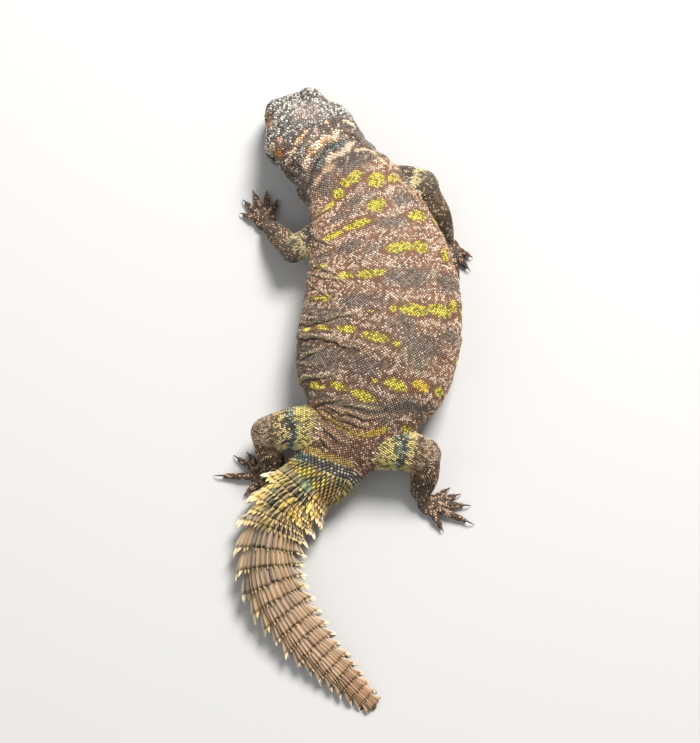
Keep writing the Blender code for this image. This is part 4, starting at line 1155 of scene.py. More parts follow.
def shaded(colours, shape, top_light=1.12, foot_dark=0.5):
    """Colours for every point of the copies: painted shade at the foot, painted light on the crown."""
    height = np.clip(shape[0][:, 2], 0, 1)
    tone = foot_dark + (top_light - foot_dark) * height
    return np.clip(colours[:, None] * tone[None, :, None], 0, 1).reshape(-1, 3)


def copied(faces, corners, count):
    """The faces of so many copies of a shape with so many corners."""
    return (faces[None] + corners * np.arange(count)[:, None, None]).reshape(-1, faces.shape[1])


def coat(name, sets, material):
    """One piece of the coat from sets of copies of small shapes.

    A set is what laid takes, every point's colour, and each copy's place in the map, where it is one patch.
    """
    stacks, start = [], 0
    for *laying, shape, colours, uv in sets:
        points, faces = laid(*laying, shape)
        points[:, 2] = np.maximum(points[:, 2], 0.0)
        patches = uv[:, None] + PATCH_HALF * np.clip(shape[0][:, :2], -1, 1)[None]
        stacks.append((points, faces + start, colours, patches.reshape(-1, 2)))
        start += len(points)
    points, faces, colours, maps = map(np.concatenate, zip(*stacks))
    piece(name, points, faces, colours, material, maps)


def body_lattice(start, end, along_by, across_by):
    """Places on the unrolled body in staggered rows, counted outwards from the middle of the back."""
    rows = np.arange(start, end, along_by)
    girth = read_rows(rows / SPINE_STEP, GIRTH)[0]
    reach = math.pi / 4 * (2 * girth[:, 0] + girth[:, 1] + girth[:, 2])
    columns = np.arange(-200, 201) * across_by
    at = np.repeat(rows[:, None], len(columns), axis=1)
    around = columns[None] + (np.arange(len(rows)) % 2)[:, None] * across_by / 2
    keep = np.abs(around) < reach[:, None] - across_by * 0.4
    return at[keep], around[keep]


def rearwards(at):
    """The direction towards the tail at distances along the spine."""
    return -read_rows(at / SPINE_STEP, FORWARD)[0]


def random_of(count, seed):
    """So many repeatable random numbers from 0 to 1."""
    return np.random.default_rng(seed).random(count)


def unrolled(at, around):
    """Places in the map of the trunk and tail."""
    return np.column_stack([at / 150.0, 0.5 + around / 110.0])


def trunk_scales(material):
    """Small, flat scales in staggered rows from the neck to the hips, all round."""
    at, around = body_lattice(0.5, 82.0, TRUNK_ROW, TRUNK_PITCH)
    inside = slanted_at(at, around) < 79.9
    at, around = at[inside], around[inside]
    shift = random_of(2 * len(at), 3).reshape(2, -1) - 0.5
    places = body_surface(at + 0.10 * shift[0], around + 0.12 * shift[1], -COAT_DEPTH)
    roots, normals, moved = onto_skin(places)
    keep = (nearest_part(roots) == 0) & (moved < np.where(at < 14, 3.0, 1.6)) & (to_head(roots)[:, 0] < 3.0)
    at, around, roots, normals = at[keep], around[keep], roots[keep], normals[keep]
    colours = markings(roots, random_of(len(at), 1))
    size = 1 + 0.22 * (random_of(len(at), 2) - 0.5)
    heights = np.where(np.abs(around) > 26, BELLY_SCALE_HEIGHT, TRUNK_SCALE[2])
    shape = dome_shape()
    for number, (low, high) in enumerate(TRUNK_PIECES, 1):
        here = (at >= low) & (at < high)
        laying = roots[here], normals[here], rearwards(at[here])
        sizes = TRUNK_SCALE[0] * size[here], TRUNK_SCALE[1] * size[here], heights[here]
        rest = shape, shaded(colours[here], shape), unrolled(at[here], around[here])
        coat(f"trunk_scales_{number}", [(*laying, *sizes, *rest)], material)


def whorl_edges():
    """Where each tail ring starts, closer together towards the tip."""
    lengths = WHORL_SHRINK ** np.arange(WHORLS)
    lengths *= (BODY_END - HIPS_END) / lengths.sum()
    return HIPS_END + np.concatenate([[0.0], np.cumsum(lengths)])


def spined_plates(starts, ends, middles, widths, spines, outs, keels, lift, broad):
    """Tail scales as closed lofts along the body: roof-shaped plates whose square rear edges end in a spine.

    Along each scale, u goes from 0 at its front to 1 at its rear edge, then on to the tip of its spine.
    Across it, v goes from -1 to 1. Height is the ring's flare, which rises with u, plus a roof with a thin
    keel at v = 0.
    """
    u = np.array([0.0, 0.15, 0.5, 0.85, 1.0, 1.001, 1.35, 1.7, 2.0])
    v = np.array([-1.0, -0.5, -0.14, 0.0, 0.14, 0.5, 1.0])
    plate, past = np.clip(u, 0, 1), np.clip(u - 1, 0, 1)
    flat = np.array([0.90, 0.98, 1.0, 0.98, 0.90, 0.0, 0.0, 0.0, 0.0])
    wide = np.where(u <= 1, flat, broad[:, None] * (0.97 * (1 - past) ** 0.9 + 0.03))
    spines, outs = spines[:, None] * past, outs[:, None]
    at = starts[:, None] + (ends - starts)[:, None] * plate + spines * np.cos(outs)
    rise = lift[:, None] * (0.10 + 0.90 * plate**1.3) + spines * np.sin(outs)
    keel = keels[:, None] * np.clip(plate * 1.15, 0, 1) ** 0.8 * (1 - past) ** 0.7 + 0.02
    crown = 0.75 * (1 - np.abs(v)) ** 1.1 + 0.35 * np.exp(-((np.abs(v) / 0.14) ** 1.6))
    around = middles[:, None, None] + (widths[:, None] * wide / 2)[..., None] * v
    top = rise[..., None] + keel[..., None] * crown
    bottom = rise - 0.10 * (1 - past) - 0.02 - 0.30 * (1 - plate) - 0.22 * plate * (past == 0)
    around = np.concatenate([around, around[..., [6, 3, 0]]], axis=-1)
    lifts = np.concatenate([top, np.repeat(bottom[..., None], 3, axis=-1)], axis=-1)
    points = body_surface(np.repeat(at[..., None], around.shape[-1], axis=-1), around, lifts)
    rows, sides = around.shape[1:]
    keel_share = np.exp(-((v / 0.11) ** 2))[None] * (0.70 + 0.30 * plate[:, None])
    keel_share = np.maximum(keel_share, np.clip(past * 2.5, 0, 1)[:, None])
    keel_share = np.concatenate([keel_share, np.zeros((rows, 3))], axis=1)
    # Painted shadow: a thin dark line at the rear edge, and a darker front where the ring before overlaps
    dark = np.maximum(bump(u, 1.0, 0.05), 0.5 * np.clip(1 - u / 0.4, 0, 1))
    edge = np.concatenate([np.repeat(dark[:, None], len(v), axis=1), np.ones((rows, 3))], axis=1)
    return points, loft_faces(rows, sides), keel_share.ravel(), edge.ravel()


def tail_rings(rng):
    """Each tail scale's start, end, middle, width, spine, angle out, keel, lift, breadth and paleness."""
    edges = whorl_edges()
    rows = []

    def add(count, *values):
        """Adds a row of scales; each value is one number for them all or one for each."""
        rows.append(np.stack([np.broadcast_to(value, count) for value in values]))

    for ring in range(FIRST_RING, WHORLS):
        start, end = edges[ring] - 0.35, edges[ring + 1] - 0.25
        share = (start - HIPS_END) / (BODY_END - HIPS_END)
        half, rise, drop = read_rows(np.array([(start + end) / 2 / SPINE_STEP]), GIRTH)[0][0]
        side = math.pi / 4 * (half + rise)
        cones = ring < FIRST_RING + CONE_RINGS
        front, rear, spine, keel, level, broad, broader, tip, paler = CONES if cones else ROOFS
        count = 22 if cones else int(round(22 - 8 * share))
        middles = np.linspace(-1, 1, count) * (side + 0.12 * (half + drop))
        width = middles[1] - middles[0]
        sideways = np.clip((np.abs(middles) / side - 0.62) / 0.24, 0, 1)
        jitter = rng.random((4, count))
        if cones:
            # A row of smaller cones sits before each ring's large ones, staggered with them
            small, ahead = jitter[2, 1:], middles[:-1] + width / 2 + 0.2 * width * (jitter[1, 1:] - 0.5)
            add(
                count - 1, start, (start + end) / 2 - 0.2, ahead, width,
                1.1 + 0.6 * small, math.radians(42), 0.45 + 0.4 * small, 0.45, 0.75, 0.8,
            )
        long = (spine + (2.5 - spine) * sideways) * (1.08 - 0.25 * sideways * (np.arange(count) % 2))
        size = (1.15 - 0.60 * share) * (0.78 + 0.44 * jitter[2])
        add(
            count, start + (end - start) * front, end + 0.30 * (jitter[0] - 0.5) - rear,
            middles + 0.14 * width * (jitter[1] - 0.5), width,
            long * size, np.radians(level + (52 - level) * sideways + 20 * (jitter[3] - 0.5)),
            (keel + (1.25 - keel) * sideways) * size, 0.42 * (1.05 - 0.5 * share) * (1 + 1.9 * sideways),
            broad + broader * sideways, tip + paler * sideways + 0.1 * (jitter[3] - 0.5),
        )
        # Below lie two rows of flat scales to each ring
        low = max(3, int(round(7 - 4 * share)))
        first, reach = side + 0.16 * (half + drop), side + math.pi / 4 * (half + drop)
        under = first + (reach - first) * (np.arange(low) + 0.5) / low
        under = np.concatenate([under, -under])
        step = (end - start) / 2
        for here in (start, start + step):
            add(2 * low, here, here + step, under, (reach - first) / low, 0.25, 0.0, 0.08, 0.12, 0.42, 0.4)
    return np.concatenate(rows, axis=1)


def tail_scales(material):
    """Whorls of keeled scales over the tail: cones, then roofs, with the longest spines at the sides."""
    rng = np.random.default_rng(7)
    *sizes, tip = tail_rings(rng)
    points, faces, keel_share, edge = spined_plates(*sizes)
    count, per = len(tip), len(keel_share)
    points = points.reshape(-1, 3)
    points[:, 2] = np.maximum(points[:, 2], 0.0)
    chance = rng.random(count)
    at, around = (sizes[0] + sizes[1]) / 2, sizes[2]
    roots = body_surface(at, around, np.zeros(count))
    ground = tail_colour(roots, at, around, chance)
    ground = mixed(ground, BELLY, 0.6 * belly_share(roots, around, body_place(roots)[4]))
    ground *= (0.78 + 0.52 * rng.random(count))[:, None]
    pale = mixed("e2cc92", "e4c6a0", step_between(at, 106, 126))
    pale = mixed(pale, "eee2cc", 0.7 * step_between(tip, 0.8, 0.95))
    pale = mixed(pale, "3a3a36", 0.8 * ((rng.random(count) > 0.86) & (at < 118) & (tip < 0.8)))
    strength = 0.95 * np.clip(tip, 0, 1)
    colours = ground[:, None] + (pale - ground)[:, None] * (strength[:, None] * keel_share[None])[..., None]
    # Painted shadow, stronger on some scales, along each scale's rear edge and over its front, not on the
    # keel
    edge_shadow = 0.15 + 0.60 * (rng.random(count) > 0.72)
    colours *= 1 - (edge_shadow[:, None] * edge[None] * (keel_share < 0.5)[None])[..., None]
    spread = np.column_stack([np.linspace(-1, 1, per), np.tile(np.linspace(-1, 1, 10), per // 10)])
    maps = (unrolled(at, around)[:, None] + PATCH_HALF * spread[None]).reshape(-1, 2)
    colours = np.clip(colours, 0, 1).reshape(-1, 3)
    piece("tail_scales", points, copied(faces, per, count), colours, material, maps)


def tail_root_scales(material):
    """Beads over the root of the tail that grow into pointed scales before the first full whorl."""
    last = whorl_edges()[FIRST_RING]
    for name, start, end, pitch, shape, height in (
        ("tail_root_beads", 79.9, 82.5, 0.72, dome_shape(), 0.34),
        ("tail_root_thorns", 82.5, 90.5, 0.92, dome_shape(1.6, 0.62, 0.45), 0.95),
    ):
        slanted, around = body_lattice(start, end, pitch * 0.86, pitch)
        at = slanted + TAIL_SLANT * np.clip(around, -6.0, 6.0)
        at, around = at[at < last + 0.1], around[at < last + 0.1]
        roots, normals, moved = onto_skin(body_surface(at, around, -COAT_DEPTH))
        keep = (nearest_part(roots) == 0) & (moved < 1.2)
        at, around, roots, normals = at[keep], around[keep], roots[keep], normals[keep]
        chance = random_of(len(at), 11)
        colours = markings(roots, chance)
        if "thorns" in name:
            tone = mixed(colours, "e6d488", 0.45 + 0.4 * chance)
            crown = np.clip(shape[0][:, 2], 0, 1)[None, :, None] ** 3
            colours = colours[:, None] * 0.75 * (1 - crown) + tone[:, None] * crown
            colours = np.clip(colours, 0, 1).reshape(-1, 3)
        else:
            colours = shaded(colours, shape, 1.35, 0.35)
        heights = np.where(np.abs(around) > 12, 0.12, height) * (0.75 + 0.5 * chance)
        sizes = np.full(len(at), pitch * 1.15), np.full(len(at), pitch * 0.98), heights
        rest = shape, colours, unrolled(at, around)
        coat(name, [(roots, normals, rearwards(at), *sizes, *rest)], material)


def rings_on(line, radii, rings):
    """Centres, directions and radii of rings at distances along a line, and how far each is past its end."""
    length = along(line)
    inside = np.minimum(rings, length[-1])
    tables = line, unit(np.gradient(line, axis=0))
    centre, lie = (np.column_stack([np.interp(inside, length, t[:, a]) for a in range(3)]) for t in tables)
    return centre, unit(lie), np.interp(inside, length, radii), rings - inside


def staggered(rings, count, side, above):
    """Angles of places round rings, every other one turned by half a place, and the ways out to them."""
    turn = 2 * np.pi * (np.arange(count)[None] + 0.5 * (np.arange(rings) % 2)[:, None]) / count
    return turn, np.cos(turn)[..., None] * side + np.sin(turn)[..., None] * above[:, None]


def limb_lattice(name, pitch):
    """Places in staggered rings round a limb length and over its rounded end, where the rings thin out."""
    line, radii = limb_line(name, 40)
    length = along(line)[-1]
    rings = np.arange(0.2, length + radii[-1] * 1.5, pitch * 0.8)
    centre, lie, radius, past = rings_on(line, radii, rings)
    bend = past / radius
    centre += lie * (radius * np.sin(bend))[:, None]
    side = unit(np.cross(lie, (0.0, 0.0, 1.0)))
    count = int(round(2 * math.pi * radius.max() / pitch))
    turn, out = staggered(len(rings), count, side[:, None], np.cross(side, lie))
    points = centre[:, None] + out * (radius * np.cos(bend))[:, None, None]
    column = np.arange(1, count + 1)
    kept = np.floor(column * np.cos(bend)[:, None]) > np.floor((column - 1) * np.cos(bend)[:, None])
    lies = np.repeat(lie[:, None], count, axis=1)
    rows = 2 * math.pi * radius / count, rings / length
    sizes, share = (np.repeat(row[:, None], count, axis=1) for row in rows)
    return points[kept], lies[kept], sizes[kept], turn[kept], share[kept]


def limb_scales(material):
    """Beads in rings round the limbs, with pointed scales at the rear of the thighs and shanks."""
    bead, thorn = dome_shape(1.0), thorn_shape()
    for number, chain in enumerate(CHAINS):
        leg = number >= 2
        pitch = LEG_PITCH if leg else ARM_PITCH
        store = []
        for length, name in enumerate(chain[:2]):
            points, lies, sizes, turn, share = limb_lattice(name, pitch)
            roots, normals, moved = onto_skin(points)
            keep = (nearest_part(roots) == 2 + 3 * number + length) & (moved < 1.0)
            rear = np.clip(-np.cos(turn) * (1 if "left" in name else -1), 0, 1)
            bold = leg * rear**2 * (np.clip(share * 1.6, 0, 1) if length == 0 else 0.9) * (share < 1)
            # Scales over the knees and elbows lie lower and aren't pointed
            tall = pitch * (1 - 0.5 * step_between(share, 0.88, 1.08))
            place = (0.05 + 0.9 * np.clip(share, 0, 1.4) / 1.4 + length) / 2
            uv = np.column_stack([place, turn % (2 * np.pi) / 6.3])
            store.append(np.column_stack([roots, normals, lies, sizes, bold, tall, uv])[keep])
        rows = np.vstack(store)
        chance = random_of(len(rows), 20 + number)
        colours = markings(rows[:, :3], chance)
        sets = []
        for pointed, shape, height in ((False, bead, 0.36 if leg else 0.2), (True, thorn, 0.50)):
            here = (rows[:, 10] > 0.5) == pointed
            roots, normals, lies, numbers, uv = np.split(rows[here], (3, 6, 9, 12), axis=1)
            sizes, bold, tall = numbers.T
            size = 1 + 0.25 * bold * pointed
            lengths = pitch * (1.8 if pointed else 1.1) * size
            widths = sizes * (1.25 if pointed else 0.98) * size**0.5
            heights = height * tall / 0.7 * size * (0.8 + 0.5 * chance[here])
            tones = shaded(colours[here], shape, 1.35, 0.35)
            sets.append((roots, normals, lies, lengths, widths, heights, shape, tones, uv))
        limb, side = "leg" if leg else "arm", "left" if number % 2 == 0 else "right"
        coat(f"{limb}_scales_{side}", sets, material)


def scattered(surface, least, seed):
    """Places spread over a surface, none nearer than least millimetres to another."""
    tree = bpy.data.node_groups.new("spread", "GeometryNodeTree")
    tree.interface.new_socket("Geometry", in_out="INPUT", socket_type="NodeSocketGeometry")
    tree.interface.new_socket("Geometry", in_out="OUTPUT", socket_type="NodeSocketGeometry")
    start, end = tree.nodes.new("NodeGroupInput"), tree.nodes.new("NodeGroupOutput")
    spread = tree.nodes.new("GeometryNodeDistributePointsOnFaces")
    spread.distribute_method = "POISSON"
    spread.inputs["Distance Min"].default_value = least * MM
    spread.inputs["Density Max"].default_value = 2.2 / (least * MM) ** 2
    spread.inputs["Seed"].default_value = seed
    corners = tree.nodes.new("GeometryNodePointsToVertices")
    tree.links.new(start.outputs[0], spread.inputs["Mesh"])
    tree.links.new(spread.outputs["Points"], corners.inputs["Points"])
    tree.links.new(corners.outputs[0], end.inputs[0])
    change = surface.modifiers.new("spread", "NODES")
    change.node_group = tree
    graph = bpy.context.evaluated_depsgraph_get()
    mesh = surface.evaluated_get(graph).to_mesh()
    points = np.empty(len(mesh.vertices) * 3)
    mesh.vertices.foreach_get("co", points)
    surface.evaluated_get(graph).to_mesh_clear()
    surface.modifiers.remove(change)
    bpy.data.node_groups.remove(tree)
    return points.reshape(-1, 3) / MM - SHIFT


def tiled(roots, normals, heights, gap=0.93, sides=9, nearest=10):
    """Plates that fill the space between their neighbours, as each plate's points and one plate's faces.

    In each of a ring of directions a plate reaches half way to the neighbour that limits it most: the least
    of d.d / (2 d.k) over the offsets d of its neighbours, for direction k.
    """
    index = []
    for part in np.array_split(np.arange(len(roots)), len(roots) // 2000 + 1):
        gaps = dot(roots, roots) - 2 * roots[part] @ roots.T
        index.append(np.argpartition(gaps, nearest, axis=1)[:, : nearest + 1])
    side = unit(np.cross(normals, np.array([0.31, 0.22, 0.93])))
    ahead = np.cross(side, normals)
    offset = roots[np.concatenate(index)] - roots[:, None]
    flat = np.stack([dot(offset, side[:, None]), dot(offset, ahead[:, None])], axis=-1)
    square = dot(flat, flat)[..., None]
    ring = circle(sides)
    towards = flat @ ring.T
    limit = np.where((towards > 1e-6) & (square > 1e-6), square / (2 * np.maximum(towards, 1e-6)), 9.0)
    reach = np.minimum(limit.min(axis=1), PLATE_REACH)
    points = [
        roots[:, None]
        + side[:, None] * (reach * share * ring[:, 0])[..., None]
        + ahead[:, None] * (reach * share * ring[:, 1])[..., None]
        + (normals * heights[:, None] * high)[:, None]
        for share, high in ((gap, -0.5), (gap * 0.93, 0.35), (gap * 0.66, 0.92))
    ]
    points = np.concatenate(points + [(roots + normals * heights[:, None])[:, None]], axis=1)
    # Painted shade at each plate's foot and painted light towards its crown
    tone = np.concatenate([np.full(sides, 0.45), np.full(sides, 0.9), np.full(sides, 1.05), [1.12]])
    spread = np.vstack([ring, ring * 0.9, ring * 0.6, [[0, 0]]])
    return points, loft_faces(3, sides, True)[:, ::-1], tone, spread


def head_scales(skin, material):
    """Irregular plates that cover the head, smaller on the face and the lids than on the crown and cheeks."""
    crown, face = scattered(skin, CROWN_PITCH, 3), scattered(skin, FACE_PITCH, 4)
    roots = np.vstack([crown[to_head(crown)[:, 0] < 8.6], face[to_head(face)[:, 0] > 8.9]])
    q = to_head(roots)
    roots, normals, _ = onto_skin(roots[(q[:, 0] > -8.0) & (np.abs(q[:, 1]) < 13) & (np.abs(q[:, 2]) < 9)])
    q = to_head(roots)
    opening, ear, nostril, mouth = face_gaps(one_sided(q))
    keep = (nearest_part(roots) == 1) & (opening > 0.12) & (ear > -0.1) & (nostril > 0.12) & (mouth > 0.2)
    keep &= skin_field(roots + 0.3 * normals) > 0.14
    chance = random_of(len(roots), 31)
    points, faces, tone, spread = tiled(roots, normals, 0.15 + 0.09 * chance)
    # The plates left out at the mouth, the lids and the ears still limit their neighbours
    points, roots, q, chance = points[keep].reshape(-1, 3), roots[keep], q[keep], chance[keep]
    points[:, 2] = np.maximum(points[:, 2], 0.0)
    # The plates' colours carry that painted shade and light
    colours = np.clip(markings(roots, chance)[:, None] * tone[None, :, None], 0, 1).reshape(-1, 3)
    uv = np.column_stack([0.05 + q[:, 0] / 24.0, 0.5 + np.arctan2(q[:, 1], q[:, 2]) / 6.6])
    maps = (uv[:, None] + PATCH_HALF * spread[None]).reshape(-1, 2)
    piece("head_scales", points, copied(faces, len(tone), len(roots)), colours, material, maps)


def eyeballs(material):
    """Two eyes: balls whose colour goes with distance from the line of sight, as pupil, iris and dark rim."""
    rows, sides = 28, 40
    polar, ring = np.linspace(0, math.pi, rows)[1:-1, None], circle(sides)
    wide, level = np.sin(polar), np.cos(polar) + 0 * ring[:, 0]
    rings = np.stack([wide * ring[:, 0], level, wide * ring[:, 1]], axis=-1)
    ball = np.vstack([[(0, 1, 0)], rings.reshape(-1, 3), [(0, -1, 0)]])
    low = (np.arange(rows - 3)[:, None] * sides + np.arange(sides)).ravel() + 1
    nxt = (np.arange(rows - 3)[:, None] * sides + (np.arange(sides) + 1) % sides).ravel() + 1
    first, end = np.arange(sides), len(ball) - 1
    last = end - sides + first
    faces = np.vstack([np.column_stack(corners) for corners in (
        (low, low + sides, nxt + sides),
        (low, nxt + sides, nxt),
        (np.zeros(sides, int), first + 1, (first + 1) % sides + 1),
        (np.full(sides, end), (first + 1) % sides + end - sides, last),
    )])
    out = np.hypot(ball[:, 0], ball[:, 2]) * EYE_RADIUS + 5 * (ball[:, 1] < 0)
    streak = clouds(np.column_stack([np.arctan2(ball[:, 2], ball[:, 0]) * 5, out * 3, out * 0]), 1.0, 73)
    colours = mixed(mixed("5a3516", "a06a24", streak), "c8963c", bump(out, 0.62, 0.08))
    colours = mixed(colours, "060505", step_between(-out, -0.60, -0.52))
    colours = mixed(colours, "1a100b", step_between(out, 1.1, 1.35))
    for side, name in ((1, "eye_left"), (-1, "eye_right")):
        local = (np.array(EYE_AT) + ball * EYE_RADIUS * (1.0, 1.03, 1.0)) * (1, side, 1)
        order = faces if side < 0 else faces[:, ::-1]
        body = piece(name.replace("eye", "eyeball"), from_head(local), order, colours, material)
        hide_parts(name)


def claws(material):
    """Twenty hooked claws: round cones along a line that rises off the digit and curls down to the floor."""
    sides, share = 8, np.linspace(0, 1, 9)
    ring = circle(sides)
    lofts = []
    for paw, (*_, digits) in PAWS.items():
        for spread_by, reach in digits:
            root, way, _, _ = digit_line(paw, spread_by, reach)
            out = reach * (CLAW_START - 0.10 + (1 - CLAW_START + 0.10) * share)
            middle = root + way * out[:, None]
            middle[:, 2] = 0.80 + 0.62 * np.sin(share * math.pi * 0.75) - 1.10 * share**3
            radius = 0.36 * (1 - share) ** 0.75 + 0.03
            across = np.column_stack([ring[:, :1] * 0.8 * (-way[1], way[0]), ring[:, 1]])
            lofts.append((middle[:, None] + across * radius[:, None, None]).reshape(-1, 3))
    points = np.concatenate(lofts)
    points[:, 2] = np.maximum(points[:, 2], 0.0)
    colours = mixed("5a4430", "1c1410", np.tile(np.repeat(share, sides), len(lofts)) ** 1.2)
    faces = copied(loft_faces(len(share), sides), len(lofts[0]), len(lofts))
    piece("claws", points, faces, colours, material)


def paw_scales(material):
    """Rings of scales round each digit and small plates over the palms."""
    shape, sides = dome_shape(0.35), 8
    for chain_number, (_, _, paw) in enumerate(CHAINS):
        stacks = []
        for number, (spread_by, reach) in enumerate(PAWS[paw][4]):
            _, way, line, radii = digit_line(paw, spread_by, reach)
            rings = np.arange(0.5, along(line)[-1] + 0.1, 0.46)
            centre, lie, radius, _ = rings_on(line, radii, rings)
            side = np.array([-way[1], way[0], 0.0])
            turn, out = staggered(len(rings), sides, side, unit(np.cross(lie, side)))
            far = np.repeat(rings / 11.0, sides) * 0.9 + 0.05
            places = np.column_stack([far, (number + turn.ravel() % 6.283 / 6.6) / 6])
            roots = (centre[:, None] + out * radius[:, None, None]).reshape(-1, 3)
            stacks.append((roots, np.repeat(lie, sides, axis=0), np.repeat(radius, sides), places))
        centre, ahead, side = paw_axes(paw)
        length, width = PAWS[paw][2:4]
        steps = np.arange(-5, 6)
        grid = np.stack(np.meshgrid(steps, steps, indexing="ij"), axis=-1).reshape(-1, 2) * PALM_PITCH
        grid[:, 1] += PALM_PITCH / 2 * (np.round(grid[:, 0] / PALM_PITCH) % 2)
        grid = grid[np.hypot(grid[:, 0] / (length / 2), grid[:, 1] / (width / 2)) < 0.98]
        palm = centre + ahead * grid[:, :1] + side * grid[:, 1:]
        palm[:, 2] = 2.2
        places = np.column_stack([0.5 + grid[:, 0] / 12, 5 / 6 + 0.08 + grid[:, 1] / 50])
        stacks.append((palm, np.repeat(ahead[None], len(palm), axis=0), np.full(len(palm), 0.66), places))
        roots, lies, sizes, uv = map(np.concatenate, zip(*stacks))
        roots, normals, moved = onto_skin(roots)
        number = 4 + 3 * chain_number
        keep = (nearest_part(roots) == number) & (moved < 0.8)
        roots, normals, lies, sizes, uv = roots[keep], normals[keep], lies[keep], sizes[keep], uv[keep]
        colours = shaded(markings(roots, random_of(len(roots), 50 + number)), shape, 1.25)
        sizes = np.full(len(roots), 0.58), 0.80 * sizes, np.full(len(roots), 0.11)
        coat(f"{paw}_scales", [(roots, normals, lies, *sizes, shape, colours, uv)], material)


def make_skin(material):
    """One closed skin over every solid of flesh, finer on the head."""
    corners, quads = surface_net(np.array([-33.0, -73.0, -1.2]), np.array([33.0, 76.0, 23.0]), SKIN_STEP)
    mesh = bpy.data.meshes.new("skin")
    mesh.from_pydata(corners.tolist(), [], quads.tolist())
    work = bmesh.new()
    work.from_mesh(mesh)
    forward = to_head(corners)[:, 0] > 1.5
    near = {v for v, head in zip(work.verts, forward) if head}
    edges = [e for e in work.edges if e.verts[0] in near and e.verts[1] in near]
    bmesh.ops.subdivide_edges(work, edges=edges, cuts=1, use_grid_fill=True)
    bmesh.ops.triangulate(work, faces=[f for f in work.faces if len(f.verts) > 4])
    work.to_mesh(mesh)
    work.free()
    points = np.empty(len(mesh.vertices) * 3)
    mesh.vertices.foreach_get("co", points)
    points = points.reshape(-1, 3)
    ends = np.empty(len(mesh.edges) * 2, np.int32)
    mesh.edges.foreach_get("vertices", ends)
    first, second = ends.reshape(-1, 2).T
    links = np.bincount(np.concatenate([first, second]), minlength=len(points))[:, None]
    for _ in range(2):
        points = onto_skin(points, 1)[0]
        pairs = (first, second), (second, first)
        total = np.column_stack([
            sum(np.bincount(a, points[b, axis], len(points)) for a, b in pairs) for axis in range(3)
        ])
        points = points + 0.5 * (total / links - points)
    points = onto_skin(points, 2)[0]
    mesh.vertices.foreach_set("co", ((points + SHIFT) * MM).astype(np.float32).ravel())
    mesh.update()
    # The skin shows only between scales; its colour is darkened as painted shade in those gaps
    colours = markings(points, clouds(points, 0.35, 79)) * 0.42
    skin = dressed("skin", mesh, colours, material)
    flesh = [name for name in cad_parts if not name.startswith("eye")]
    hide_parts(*flesh)
    return skin


def math_node(tree, operation, *values):
    """A sum in a shader group: each value is a number, or the output that feeds it."""
    node = tree.nodes.new("ShaderNodeMath")
    node.operation = operation
    for socket, value in zip(node.inputs, values):
        if isinstance(value, float):
            socket.default_value = value
        else:
            tree.links.new(value, socket)
    return node


def grain_group():
    """A shader group: a colour with fine mottling, a height for bumps and a roughness, all from one noise."""
    group = bpy.data.node_groups.new("fine grain", "ShaderNodeTree")
    face, nodes, links = group.interface, group.nodes, group.links
    face.new_socket("Colour", in_out="INPUT", socket_type="NodeSocketColor")
    for name, value in (("Size", 0.2), ("Mottle", 0.2), ("Roughness", 0.6)):
        face.new_socket(name, in_out="INPUT", socket_type="NodeSocketFloat").default_value = value
    for name, kind in (("Colour", "Color"), ("Height", "Float"), ("Roughness", "Float")):
        face.new_socket(name, in_out="OUTPUT", socket_type=f"NodeSocket{kind}")
    given, result = nodes.new("NodeGroupInput").outputs, nodes.new("NodeGroupOutput").inputs
    place = nodes.new("ShaderNodeTexCoord")
    fine = nodes.new("ShaderNodeTexNoise")
    fine.inputs["Detail"].default_value = 3.0
    links.new(math_node(group, "DIVIDE", 1000.0, given["Size"]).outputs[0], fine.inputs["Scale"])
    links.new(place.outputs["Object"], fine.inputs["Vector"])
    spread = nodes.new("ShaderNodeMapRange")
    for name, value in (("From Min", 0.3), ("From Max", 0.7), ("To Min", -0.5), ("To Max", 0.5)):
        spread.inputs[name].default_value = value
    links.new(fine.outputs[0], spread.inputs["Value"])
    depth = math_node(group, "MULTIPLY", spread.outputs[0], given["Mottle"])
    tone = math_node(group, "ADD", 1.0, depth.outputs[0])
    colour = nodes.new("ShaderNodeVectorMath")
    colour.operation = "SCALE"
    links.new(given["Colour"], colour.inputs[0])
    links.new(tone.outputs[0], colour.inputs["Scale"])
    rough = math_node(group, "MULTIPLY_ADD", spread.outputs[0], 0.25, given["Roughness"])
    rough.use_clamp = True
    for node, name in ((colour, "Colour"), (fine, "Height"), (rough, "Roughness")):
        links.new(node.outputs[0], result[name])
    return group


def coat_material(name, grain, size, mottle, roughness, bump_strength, gloss=0.0):
    """A finish that reads the piece's own markings and adds fine grain."""
    material = bpy.data.materials.new(name)
    material.use_nodes = True
    nodes, links = material.node_tree.nodes, material.node_tree.links
    shader = nodes["Principled BSDF"].inputs
    marks = nodes.new("ShaderNodeAttribute")
    marks.attribute_name = "markings"
    fine = nodes.new("ShaderNodeGroup")
    fine.node_tree = grain
    relief = nodes.new("ShaderNodeBump")
    for inputs, key, value in (
        (fine.inputs, "Size", size), (fine.inputs, "Mottle", mottle), (fine.inputs, "Roughness", roughness),
        (relief.inputs, "Strength", bump_strength), (relief.inputs, "Distance", 0.00008),
        (shader, "Specular IOR Level", 0.45), (shader, "Coat Weight", gloss),
        (shader, "Coat Roughness", 0.05),
    ):
        inputs[key].default_value = value
    links.new(marks.outputs["Color"], fine.inputs["Colour"])
    links.new(fine.outputs["Colour"], shader["Base Color"])
    links.new(fine.outputs["Roughness"], shader["Roughness"])
    links.new(fine.outputs["Height"], relief.inputs["Height"])
    links.new(relief.outputs["Normal"], shader["Normal"])
    return material


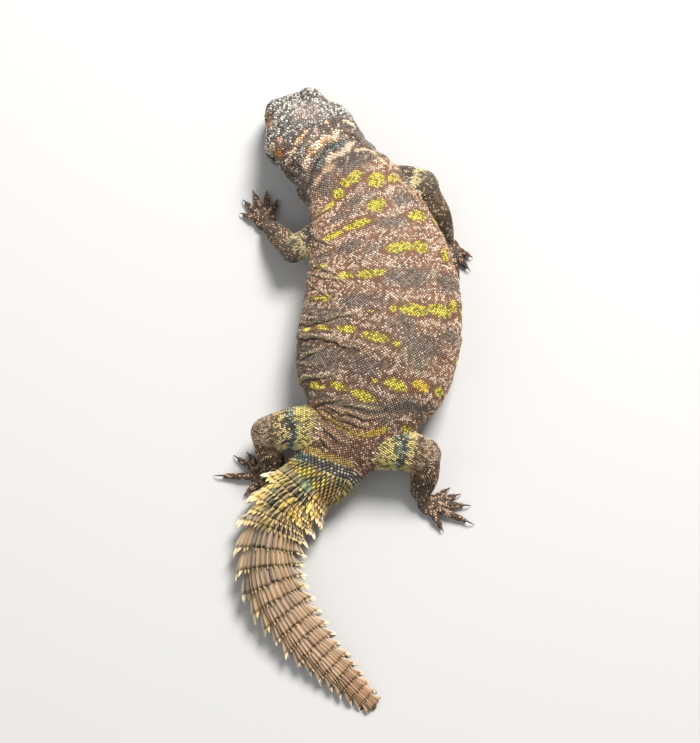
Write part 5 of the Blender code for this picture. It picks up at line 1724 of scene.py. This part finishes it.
def studio():
    """A pale floor, a soft lamp above the head's right side, a weak one beside, and the camera."""
    bpy.ops.mesh.primitive_plane_add(size=3.0, location=(0, 0, -0.00003))
    floor = bpy.context.object
    floor.name = "floor"
    pale = bpy.data.materials.new("pale floor")
    pale.use_nodes = True
    pale.node_tree.nodes["Principled BSDF"].inputs["Base Color"].default_value = (0.50, 0.515, 0.54, 1.0)
    pale.node_tree.nodes["Principled BSDF"].inputs["Roughness"].default_value = 0.8
    floor.data.materials.append(pale)
    for name, place, size, power in (
        ("key", (0.22, 0.46, 0.62), 0.30, 12.0),
        ("fill", (-0.6, -0.2, 0.5), 0.8, 1.6),
    ):
        lamp = bpy.data.lights.new(name, "AREA")
        lamp.size, lamp.energy = size, power
        lamp.color = (1.0, 0.945, 0.87)
        body = bpy.data.objects.new(name, lamp)
        bpy.context.scene.collection.objects.link(body)
        body.location = place
        body.rotation_euler = (Vector(place)).to_track_quat("Z", "Y").to_euler()
    world = bpy.data.worlds.new("studio")
    world.use_nodes = True
    world.node_tree.nodes["Background"].inputs["Color"].default_value = (1.0, 0.97, 0.92, 1.0)
    world.node_tree.nodes["Background"].inputs["Strength"].default_value = 0.40
    bpy.context.scene.world = world
    bpy.context.scene.view_settings.view_transform = "Standard"
    lens = bpy.data.cameras.new("camera")
    lens.lens, lens.sensor_width, lens.clip_start = VIEW_LENS, SENSOR, 0.01
    camera = bpy.data.objects.new("camera", lens)
    bpy.context.scene.collection.objects.link(camera)
    back = Vector((0.0, -math.cos(VIEW_TILT), math.sin(VIEW_TILT)))
    camera.location = (Vector(VIEW_AIM) + back * VIEW_DISTANCE) * MM
    camera.rotation_euler = back.to_track_quat("Z", "Y").to_euler()
    bpy.context.scene.camera = camera


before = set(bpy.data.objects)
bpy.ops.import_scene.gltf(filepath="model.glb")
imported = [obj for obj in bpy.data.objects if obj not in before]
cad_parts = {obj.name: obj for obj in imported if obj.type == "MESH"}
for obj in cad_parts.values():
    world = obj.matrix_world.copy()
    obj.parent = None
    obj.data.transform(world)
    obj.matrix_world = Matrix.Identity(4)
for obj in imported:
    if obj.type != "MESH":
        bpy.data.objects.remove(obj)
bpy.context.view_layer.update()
studio()
grain = grain_group()
skin_finish = coat_material("skin", grain, 0.12, 0.35, 0.66, 0.6)
scale_finish = coat_material("scales", grain, 0.16, 0.22, 0.52, 0.25)
horn_finish = coat_material("horny scales", grain, 0.14, 0.25, 0.46, 0.35)
claw_finish = coat_material("claws", grain, 0.2, 0.2, 0.45, 0.2)
eye_finish = coat_material("eyes", grain, 0.3, 0.1, 0.3, 0.0, 0.5)
skin = make_skin(skin_finish)
trunk_scales(scale_finish)
tail_root_scales(horn_finish)
tail_scales(horn_finish)
limb_scales(scale_finish)
paw_scales(scale_finish)
head_scales(skin, scale_finish)
eyeballs(eye_finish)
claws(claw_finish)
